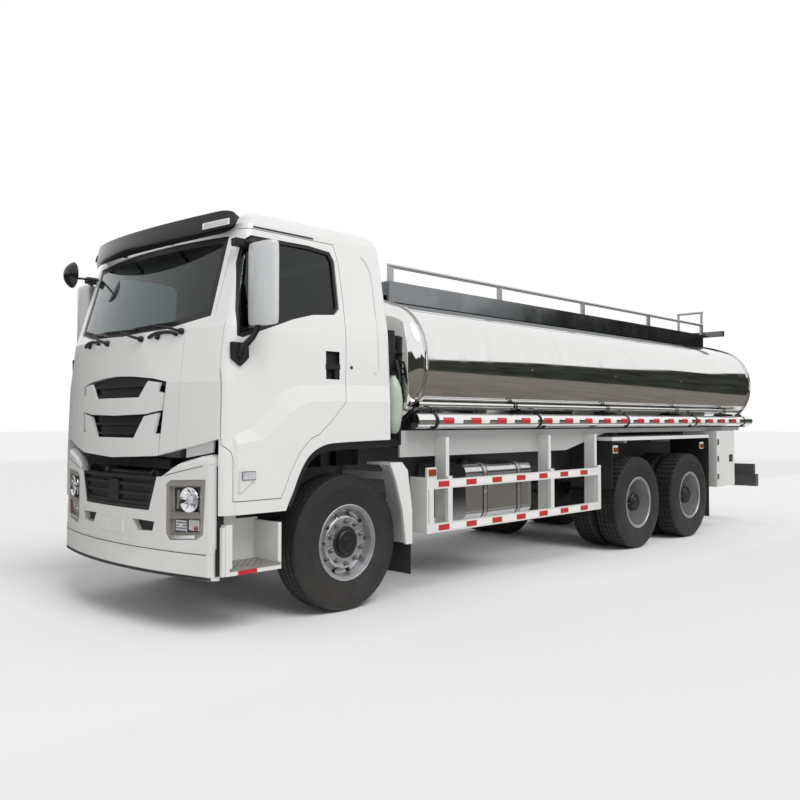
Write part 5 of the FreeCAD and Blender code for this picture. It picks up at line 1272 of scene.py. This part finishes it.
class TANKER_OT_cab_lining(bpy.types.Operator):
    """Lines the cab's roof, rear wall, sides and doors inside"""

    bl_idname = "tanker.cab_lining"
    bl_label = "Cab lining"

    def execute(self, context):
        lining = Form()
        rear = [[(0, y, z) for y in (-1.0, -0.4, 0.4, 1.0)] for z in (1.66, 2.0, 2.4, 2.85)]
        roof = [[(x, y, 2.6) for y in (-0.95, -0.3, 0.3, 0.95)] for x in (-0.33, 0.1, 0.6, 1.0)]
        lining.skin(self.sheet(rear, (-1, 0, 0)), 0.003, 0.012)
        lining.skin(self.sheet(roof, (0, 0, 1)), 0.003, 0.012)
        for side in (1, -1):
            wall = [[(x, side * 0.6, z) for x in (-0.34, -0.2, -0.1, 0.05)] for z in (1.6, 2.0, 2.4, 2.82)]
            lining.skin(self.sheet(wall, (0, side, 0)), 0.003, 0.012)
        lining.piece("cab_lining", "lining", "cab", sharp=50)
        for side, name in ((1, "left"), (-1, "right")):
            door = [[(x, side * 0.6, z) for x in (0.14, 0.4, 0.7, 1.02)] for z in (1.42, 1.6, 1.8, 1.98)]
            trim = Form().skin(self.sheet(door, (0, side, 0)), 0.003, 0.016)
            trim.piece(f"door_lining_{name}", "black", f"door_{name}", 0.004)
        return {"FINISHED"}

    def sheet(self, rows, direction):
        """Spots on whatever of the cab is met from each start inside it, facing back."""
        walls = (*CAB_SHELL[:3], "cab_rear_wall", "door_left", "door_right")
        inward = -Vector(direction)
        return [[(seen_from(direction, start, walls, 0.0)[0], inward) for start in row] for row in rows]


class TANKER_OT_steps(bpy.types.Operator):
    """Makes the chequered treads of the cab steps"""

    bl_idname = "tanker.steps"
    bl_label = "Step treads"

    def execute(self, context):
        tread, dark = Form(), Form()
        tread.slab((0.735, 1.126), (0.94, 1.224), (0.4795, 0.4835))
        tread.slab((0.712, 1.150), (1.2205, 1.2255), (0.462, 0.4835))
        self.lozenges(tread, (0.75, 1.112), (0.955, 1.212), 0.4835)
        dark.slab((0.74, 1.13), (1.045, 1.203), (0.8835, 0.887))
        tread.both().piece("step_treads", "tread", "chassis", 0.0006)
        self.lozenges(dark, (0.755, 1.115), (1.06, 1.19), 0.887)
        dark.both().piece("upper_treads", "dark_tread", "cab", 0.0006)
        return {"FINISHED"}

    def lozenges(self, form, x_span, y_span, z):
        """Raised bars that lie crosswise in turn."""
        pitch = 0.028
        for i in range(13):
            for j in range(int((y_span[1] - y_span[0]) / pitch)):
                x = x_span[0] + (x_span[1] - x_span[0]) * (i + 0.5) / 13
                y = y_span[0] + pitch * (j + 0.5)
                lozenge(form, x, y, z - 0.0005, z + 0.0025, (i + j) % 2, 0.011, 0.003)


class TANKER_OT_cab_trim(bpy.types.Operator):
    """Makes the turn lamps, handles, seals, strips and seams of the cab"""

    bl_idname = "tanker.cab_trim"
    bl_label = "Cab trim"

    LAMP_BASE = ((-0.068, 0.040), (0.066, 0.040), (0.068, -0.030), (0.030, -0.048), (-0.055, -0.115),
                 (-0.075, -0.120))
    SWAGE = ((-0.15, 2.845), (-0.20, 2.81), (-0.245, 2.74), (-0.262, 2.65), (-0.272, 2.4), (-0.282, 2.15),
             (-0.29, 1.95), (-0.275, 1.905), (-0.23, 1.89))
    VENTS = ((1.066, 2.690), (1.069, 2.66), (1.076, 2.60), (1.081, 2.55), (1.086, 2.505))
    BUMPER_TOP = ((0.68, 1.116), (0.75, 1.131), (0.85, 1.152), (0.95, 1.172), (1.05, 1.192), (1.12, 1.208))
    BUMPER_WIDTH = [-1.13 + 2.26 * step / 60 for step in range(61)]
    STRIPS = (((1.158, 1.1875), (1.138, 1.1612), (0.43, 1.19)),
              ((1.189, 1.216), (1.160, 1.1628), (0.62, 1.19)),
              ((1.189, 1.226), (1.160, 1.1628), (0.43, 0.62)))

    def execute(self, context):
        self.turn_lamps()
        self.handles()
        self.panel_lines()
        self.bumper_lines()
        return {"FINISHED"}

    def turn_lamps(self):
        spot = on_side(1.022, 1.12, 1, ("door_left",))
        base = Form().prism(self.LAMP_BASE, "Z", -0.002, 0.016).placed(spot)
        rim = Form().slab((-0.060, 0.060), (-0.032, 0.032), (0.012, 0.022)).placed(spot)
        lens = Form().slab((-0.053, 0.053), (-0.026, 0.026), (0.020, 0.030)).placed(spot)
        base.pair("turn_lamp_base", "cab_paint", "door", 0.006)
        rim.pair("turn_lamp_rim", "chrome", "door", 0.003)
        lens.pair("turn_lamp", "clear", "door", 0.003)

    def handles(self):
        """Lining of the recess in the door's skin, the grip across it and its lever."""
        handle = Form()
        floor = on_side(0.21, 1.86, 1, ("door_left",))[0].y
        face = on_side(0.21, 2.06, 1, ("door_left",))[0].y
        x_low, x_high, z_low, z_high, wall = 0.1455, 0.2845, 1.8255, 2.0415, 0.003
        handle.slab((x_low, x_high), (floor, floor + 0.002), (z_low, z_high))
        for z in (z_low, z_high - wall):
            handle.slab((x_low, x_high), (floor, face + 0.001), (z, z + wall))
        for x in (x_low, x_high - wall):
            handle.slab((x, x + wall), (floor, face + 0.001), (z_low, z_high))
        grip = ((x_low - 0.006, face - 0.001), (x_high + 0.006, face - 0.001), (x_high + 0.004, face + 0.006),
                (x_high - 0.05, face + 0.010), (x_low + 0.03, face + 0.010), (x_low - 0.004, face + 0.006))
        handle.prism(grip, "Z", 1.902, 1.943)
        handle.slab((0.158, 0.197), (face - 0.032, face + 0.004), (1.83, 1.905))
        handle.pair("handle", "black", "door", 0.0015)

    def panel_lines(self):
        """Pressed line on the rear pillar, lock, trim by the windscreen and gutter over the door."""
        swage = Form().ribbon([on_side(x, z, 1, ("cab_sides",)) for x, z in self.SWAGE], 0.022, 0.006)
        swage.both().piece("pillar_swage", "cab_paint", "cab", 0.003)
        lock = ((-0.002, 0.014), (0.003, 0.014), (0.004, 0.0))
        seal = Form().turned(lock, (0, 0, 0), "Z", 24).placed(on_side(0.02, 1.925))
        seal.ribbon([on_front(y, z) for y, z in self.VENTS], 0.036, 0.010)
        gutter = [on_side(0.90 - 0.56 * step / 16, 2.912, 1, CAB_SHELL) for step in range(17)]
        seal.ribbon(gutter, 0.012, 0.005)
        seal.both().piece("cab_seals", "seal", "cab", 0.001)

    def bumper_lines(self):
        """Dark strips beside and under the bumper and the seams on its face."""
        strip, seam = Form(), Form()
        for side in (1, -1):
            for x, y, z in self.STRIPS:
                strip.slab(x, sorted(side * edge for edge in y), z)
        strip.ribbon([on_front(y, 0.412, ("bumper",)) for y in self.BUMPER_WIDTH], 0.022, 0.003)
        seam.ribbon([on_front(y, 0.575, ("bumper",)) for y in self.BUMPER_WIDTH], 0.006, 0.0008)
        for side in (1, -1):
            top = [on_front(side * y, z - 0.004, ("bumper",)) for y, z in self.BUMPER_TOP]
            seam.ribbon(top, 0.005, 0.0008)
        strip.piece("bumper_strips", "seal", "chassis", 0.002)
        seam.piece("bumper_seams", "seal", "chassis")


class TANKER_OT_window_frames(bpy.types.Operator):
    """Makes the black borders of the windscreen and the seals of the door windows"""

    bl_idname = "tanker.window_frames"
    bl_label = "Window frames"

    SCREEN = ((0, 2.160), (0.60, 2.180), (1.015, 2.250), (0.990, 2.850), (-0.990, 2.850), (-1.015, 2.250),
              (-0.60, 2.180))
    WINDOW = ((0.990, 2.800), (1.040, 2.630), (1.100, 2.280), (1.100, 2.100), (1.050, 2.090), (0.860, 2.160),
              (0.590, 2.260), (0.400, 2.310), (0.180, 2.330), (0.130, 2.380), (0.140, 2.760), (0.180, 2.830),
              (0.400, 2.850), (0.930, 2.845))

    def execute(self, context):
        rows = self.ring(self.SCREEN, 0.006, 0.05, lambda y, z: on_front(y, z, ("windscreen",)))
        Form().skin(rows, -0.0005, 0.0015).piece("windscreen_border", "seal", "cab")
        for side, name in ((1, "left"), (-1, "right")):
            glass = (f"door_glass_{name}",)
            rows = self.ring(self.WINDOW, 0.006, 0.028, lambda x, z: on_side(x, z, side, glass))
            Form().skin(rows, -0.001, 0.014).piece(f"window_seal_{name}", "seal", f"door_{name}")
        return {"FINISHED"}

    def ring(self, outline, edge, width, find):
        """Rows of spots along an outline, one near its edge and one further in."""
        closed = [Vector((u, v, 0)) for u, v in outline]
        closed = stepped(closed + closed[:1], 0.08)[:-1]
        count = len(closed)
        area = sum(a.x * b.y - b.x * a.y for a, b in zip(closed, closed[1:] + closed[:1]))
        turn = 1 if area > 0 else -1
        rows = []
        for inset in (edge, width):
            row = []
            for index in range(count):
                before = (closed[index] - closed[index - 1]).normalized()
                after = (closed[(index + 1) % count] - closed[index]).normalized()
                inward = Vector((-(before.y + after.y), before.x + after.x, 0)).normalized() * turn
                slant = max(0.5, inward.dot(Vector((-before.y, before.x, 0)) * turn))
                spot = closed[index] + inward * inset / slant
                row.append(find(spot.x, spot.y))
            rows.append(row + row[:1])
        return rows


def inflated(form, name, voxel=0.012, limit=0.024):
    """Soft piece: remeshed, swollen by a cloth run whose result is kept, then rounded once more."""
    made = form.piece(name, "cloth", "cab", 0.012, 80)
    scene = bpy.context.scene
    bpy.context.view_layer.update()
    remesh = made.modifiers.new("Remesh", "REMESH")
    remesh.mode = "VOXEL"
    remesh.voxel_size = voxel
    keep_modified(made)
    before = [vertex.co.copy() for vertex in made.data.vertices]
    cloth = made.modifiers.new("Cloth", "CLOTH")
    cloth.settings.use_pressure = True
    cloth.settings.uniform_pressure_force = 4.0
    cloth.settings.effector_weights.gravity = 0.0
    for step in range(1, 21):
        scene.frame_set(step)
    keep_modified(made)
    scene.frame_set(1)
    for vertex, old in zip(made.data.vertices, before):
        move = vertex.co - old
        if move.length > limit:
            vertex.co = old + move * (limit / move.length)
    rounding = made.modifiers.new("Rounding", "SUBSURF")
    rounding.levels = rounding.render_levels = 1
    keep_modified(made)
    for polygon in made.data.polygons:
        polygon.use_smooth = True
    return made


def keep_modified(made):
    """Bakes the object's modifiers into its mesh."""
    depsgraph = bpy.context.evaluated_depsgraph_get()
    baked = bpy.data.meshes.new_from_object(made.evaluated_get(depsgraph), depsgraph=depsgraph)
    made.modifiers.clear()
    made.data = baked


class TANKER_OT_seats(bpy.types.Operator):
    """Makes the seats, their stands and the folded bunk pad as stuffed cloth"""

    bl_idname = "tanker.seats"
    bl_label = "Seats"

    CUSHION = ((0.325, 1.645), (0.795, 1.645), (0.795, 1.728), (0.765, 1.738), (0.69, 1.712), (0.43, 1.712),
               (0.355, 1.738), (0.325, 1.728))
    BACK = ((-0.035, 1.76), (-0.075, 1.76), (-0.175, 2.24), (-0.172, 2.40), (-0.085, 2.405), (-0.072, 2.24),
            (0.035, 1.80))

    def execute(self, context):
        stand = Form()
        stand.slab((0.03, 0.33), (0.55, 0.77), (1.376, 1.615))
        stand.slab((-0.05, 0.42), (0.335, 0.785), (1.600, 1.638))
        stand.both().piece("seat_stands", "black", "cab", 0.008, replaces=("seats",))
        cushion = Form().prism(self.CUSHION, "X", -0.03, 0.425)
        back = Form().prism(self.BACK, "Y", 0.335, 0.785)
        for name, form in (("seat_cushion", cushion), ("seat_back", back)):
            left = inflated(form, f"{name}_left")
            right = left.copy()
            right.data = left.data.copy()
            right.name = f"{name}_right"
            for vertex in right.data.vertices:
                vertex.co.y = -vertex.co.y
            right.data.flip_normals()
            context.scene.collection.objects.link(right)
            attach(right, "cab")
        bunk = Form().slab((-0.352, -0.258), (-1.02, 1.02), (1.715, 1.825))
        inflated(bunk, "bunk_pad", 0.014, 0.014)
        seams = Form()
        for y in (0.42, 0.70):
            seams.tube([(-0.02, y, 1.722), (0.2, y, 1.728), (0.41, y, 1.722)], 0.004, 6)
        seams.both().piece("seat_piping", "lining", "cab")
        return {"FINISHED"}


class TANKER_OT_tank_fittings(bpy.types.Operator):
    """Makes the tank's rims and weld seams, the walkway's treads and the manholes' clamps"""

    bl_idname = "tanker.tank_fittings"
    bl_label = "Tank fittings"

    MANHOLES = ((-2.727, "front"), (-6.157, "rear"))
    HANDLE = ((-0.09, 0.0), (-0.085, 0.035), (-0.06, 0.05), (0.06, 0.05), (0.085, 0.035), (0.09, 0.0))

    def execute(self, context):
        rims, welds, treads = Form(), Form(), Form()
        for x in (-0.862, -7.965):
            round_band(rims, x, 0.022, 0.004, "tank_shell", (0, 2.02))
        for x in (-2.45, -4.1, -5.75):
            round_band(welds, x, 0.006, 0.0004, "tank_shell", (0, 2.02))
        rims.piece("tank_rims", "rail", "chassis", sharp=40)
        welds.piece("tank_welds", "tank", "chassis", sharp=40)
        for i in range(96):
            x = -1.16 - 0.07 * i
            if min(abs(x - well) for well, _ in self.MANHOLES) < 0.36:
                continue
            for j in range(7):
                y = -0.36 + 0.12 * j
                place = seen_from((0, 0, -1), (x, y, 3.4), ("walkway",))[0]
                if place.z > 2.6:
                    lozenge(treads, place.x, y, place.z - 0.001, place.z + 0.003, (i + j) % 2, 0.022, 0.005)
        treads.piece("walkway_treads", "deck", "chassis")
        for x, lid in self.MANHOLES:
            self.manhole_clamps(x, lid)
        return {"FINISHED"}

    def manhole_clamps(self, middle, lid):
        """Six wing nuts round a lid, its handle and the boss between the handle's feet."""
        node, clamps = f"manhole_lid_{lid}", Form()
        for index in range(6):
            angle = math.radians(60 * index + 30)
            x, y = middle + 0.235 * math.cos(angle), 0.235 * math.sin(angle)
            top = top_of(x, y, node)
            bolt = ((top - 0.002, 0.0), (top - 0.002, 0.016), (top + 0.004, 0.016), (top + 0.004, 0.008),
                    (top + 0.026, 0.008), (top + 0.028, 0.0))
            clamps.turned(bolt, (x, y, 0), "Z", 20)
            wing = [(x - 0.024, y, top + 0.024), (x, y, top + 0.014), (x + 0.024, y, top + 0.024)]
            clamps.tube(wing, 0.005, 8)
        top = top_of(middle, 0, node)
        clamps.tube([(middle + 0.09, y, top + rise) for y, rise in self.HANDLE], 0.008, 12)
        boss = ((top - 0.002, 0.0), (top - 0.002, 0.05), (top + 0.008, 0.046), (top + 0.012, 0.0))
        clamps.turned(boss, (middle, 0, 0), "Z", 32)
        clamps.piece(f"manhole_clamps_{lid}", "rail", node)


class TANKER_OT_side_fittings(bpy.types.Operator):
    """Makes the fuel tank's straps and cap, the cabinets' hinges and locks and the tail lamps"""

    bl_idname = "tanker.side_fittings"
    bl_label = "Side fittings"

    def execute(self, context):
        straps, pads, cap = Form(), Form(), Form()
        for x in (-1.82, -2.36):
            round_band(pads, x, 0.075, 0.002, "fuel_tank", (0.77, 0.835))
            round_band(straps, x, 0.048, 0.0045, "fuel_tank", (0.77, 0.835))
        top = top_of(-1.68, 0.95, "fuel_tank")
        profile = ((top - 0.004, 0.0), (top - 0.004, 0.058), (top + 0.012, 0.058), (top + 0.014, 0.050),
                   (top + 0.034, 0.048), (top + 0.040, 0.040), (top + 0.041, 0.0))
        cap.turned(profile, (-1.68, 0.95, 0), "Z", 40)
        cap.slab((-1.72, -1.64), (0.942, 0.958), (top + 0.038, top + 0.052))
        straps.piece("fuel_straps", "tread", "chassis", sharp=40)
        pads.piece("fuel_strap_pads", "seal", "chassis", sharp=40)
        cap.piece("fuel_cap", "black", "chassis", 0.002)
        hinges, lock = Form(), Form()
        for z in (1.217, 0.985, 0.74):
            hinges.turned(((z - 0.04, 0.0), (z - 0.04, 0.009), (z + 0.04, 0.009), (z + 0.04, 0.0)),
                          (-6.785, 1.247, 0), "Z", 16)
            hinges.slab((-6.835, -6.785), (1.2445, 1.249), (z - 0.036, z + 0.036))
        lock.slab((-7.29, -7.175), (1.2445, 1.250), (0.935, 1.035))
        hinges.slab((-7.262, -7.225), (1.249, 1.260), (0.945, 1.025))
        key = ((1.249, 0.0), (1.249, 0.012), (1.256, 0.011), (1.256, 0.0))
        hinges.turned(key, (-7.20, 0, 0.985), "Y", 20)
        hinges.pair("cabinet_hinges", "rail", "cabinet_door", 0.001)
        lock.pair("cabinet_locks", "black", "cabinet_door", 0.001)
        surround, red, amber, clear = Form(), Form(), Form(), Form()
        face = -8.29
        surround.slab((face - 0.004, face + 0.01), (0.785, 1.175), (0.716, 0.856))
        for form, low, high in ((amber, 1.055, 1.165), (red, 0.925, 1.045), (clear, 0.795, 0.915)):
            form.slab((face - 0.010, face - 0.002), (low, high), (0.73, 0.842))
        red.slab((face - 0.003, face + 0.001), (0.10, 0.36), (0.58, 0.64))
        surround.both().piece("tail_lamp_frames", "black", "chassis", 0.003)
        red.both().piece("tail_lamps_red", "red", "chassis", 0.003)
        amber.both().piece("tail_lamps_amber", "amber", "chassis", 0.003)
        clear.both().piece("tail_lamps_clear", "clear", "chassis", 0.003)
        return {"FINISHED"}


class TANKER_OT_engine_bay(bpy.types.Operator):
    """Makes the bottle, pipes and intake ribs behind the cab and the cooler's fins in front"""

    bl_idname = "tanker.engine_bay"
    bl_label = "Behind the cab and the cooler"

    # Across, up and radius of the bottle's rings
    BOTTLE = ((1.13, 1.40, 0.022), (1.13, 1.415, 0.036), (1.13, 1.46, 0.052), (1.134, 1.56, 0.066),
              (1.132, 1.68, 0.070), (1.125, 1.78, 0.062), (1.12, 1.84, 0.044), (1.115, 1.87, 0.028),
              (1.115, 1.89, 0.024))

    def execute(self, context):
        bottle, pipes, fins = Form(), Form(), Form()
        x = -0.56
        path = [(x, y, z) for y, z, _ in self.BOTTLE]
        bottle.tube(path, [radius for _, _, radius in self.BOTTLE], 28)
        bottle.piece("expansion_bottle", "bottle", "chassis", sharp=60)
        pipes.turned(((1.89, 0.0), (1.89, 0.030), (1.912, 0.030), (1.916, 0.0)), (x, 1.115, 0), "Z", 24)
        for z in (1.50, 1.72):
            pipes.slab((x - 0.03, x + 0.03), (1.04, 1.10), (z - 0.012, z + 0.012))
        for drop, reach in ((0.0, 0.0), (0.06, 0.05)):
            pipe = [(x - 0.05, 0.98 - reach, 1.36), (x - 0.055, 0.99 - reach, 1.75 - drop),
                    (x - 0.06, 1.0, 1.95 - drop), (x - 0.06, 1.04, 2.03 - drop),
                    (x - 0.055, 1.10, 2.02 - drop), (x - 0.05, 1.135, 1.92 - drop),
                    (x - 0.045, 1.15, 1.75), (x - 0.04, 1.155, 1.30)]
            pipes.tube(pipe, 0.013, 12)
        for index in range(9):
            z = 1.30 + 0.1 * index
            pipes.slab((-0.644, -0.501), (0.72, 1.084), (z - 0.012, z + 0.012))
        pipes.piece("bay_pipes", "seal", "chassis", 0.003)
        for index in range(61):
            y = -0.60 + 0.02 * index
            fins.slab((1.2605, 1.266), (y - 0.003, y + 0.003), (1.155, 1.222))
        fins.piece("cooler_fins", "iron", "cab")
        return {"FINISHED"}


OPERATORS = (TANKER_OT_stage, TANKER_OT_finishes, TANKER_OT_tyres, TANKER_OT_wheel_fittings,
             TANKER_OT_wheel_arches, TANKER_OT_headlamps, TANKER_OT_markings, TANKER_OT_wipers,
             TANKER_OT_mirrors, TANKER_OT_visor, TANKER_OT_cab_lining, TANKER_OT_steps, TANKER_OT_cab_trim,
             TANKER_OT_window_frames, TANKER_OT_seats, TANKER_OT_tank_fittings, TANKER_OT_side_fittings,
             TANKER_OT_engine_bay)


class TANKER_PT_panel(bpy.types.Panel):
    """Lists the truck's pieces in the sidebar"""

    bl_label = "Tanker Truck"
    bl_idname = "TANKER_PT_panel"
    bl_space_type = "VIEW_3D"
    bl_region_type = "UI"
    bl_category = "Tanker"

    def draw(self, context):
        layout = self.layout
        for group in (context.scene.tanker_paint, context.scene.tanker_stage):
            box = layout.box()
            for name in group.__annotations__:
                box.prop(group, name)
        for operator in OPERATORS:
            layout.operator(operator.bl_idname)


CLASSES = (TankerPaint, TankerStage, *OPERATORS, TANKER_PT_panel)


def register():
    for cls in CLASSES:
        bpy.utils.register_class(cls)
    bpy.types.Scene.tanker_paint = bpy.props.PointerProperty(type=TankerPaint)
    bpy.types.Scene.tanker_stage = bpy.props.PointerProperty(type=TankerStage)


def unregister():
    del bpy.types.Scene.tanker_stage
    del bpy.types.Scene.tanker_paint
    for cls in reversed(CLASSES):
        bpy.utils.unregister_class(cls)


def main():
    register()
    bpy.ops.tanker.stage()
    bpy.ops.tanker.finishes()
    bpy.ops.tanker.tyres()
    bpy.ops.tanker.wheel_fittings()
    bpy.ops.tanker.wheel_arches()
    bpy.ops.tanker.headlamps()
    bpy.ops.tanker.markings()
    bpy.ops.tanker.wipers()
    bpy.ops.tanker.mirrors()
    bpy.ops.tanker.visor()
    bpy.ops.tanker.cab_lining()
    bpy.ops.tanker.steps()
    bpy.ops.tanker.cab_trim()
    bpy.ops.tanker.window_frames()
    bpy.ops.tanker.seats()
    bpy.ops.tanker.tank_fittings()
    bpy.ops.tanker.side_fittings()
    bpy.ops.tanker.engine_bay()


if __name__ == "__main__":
    main()
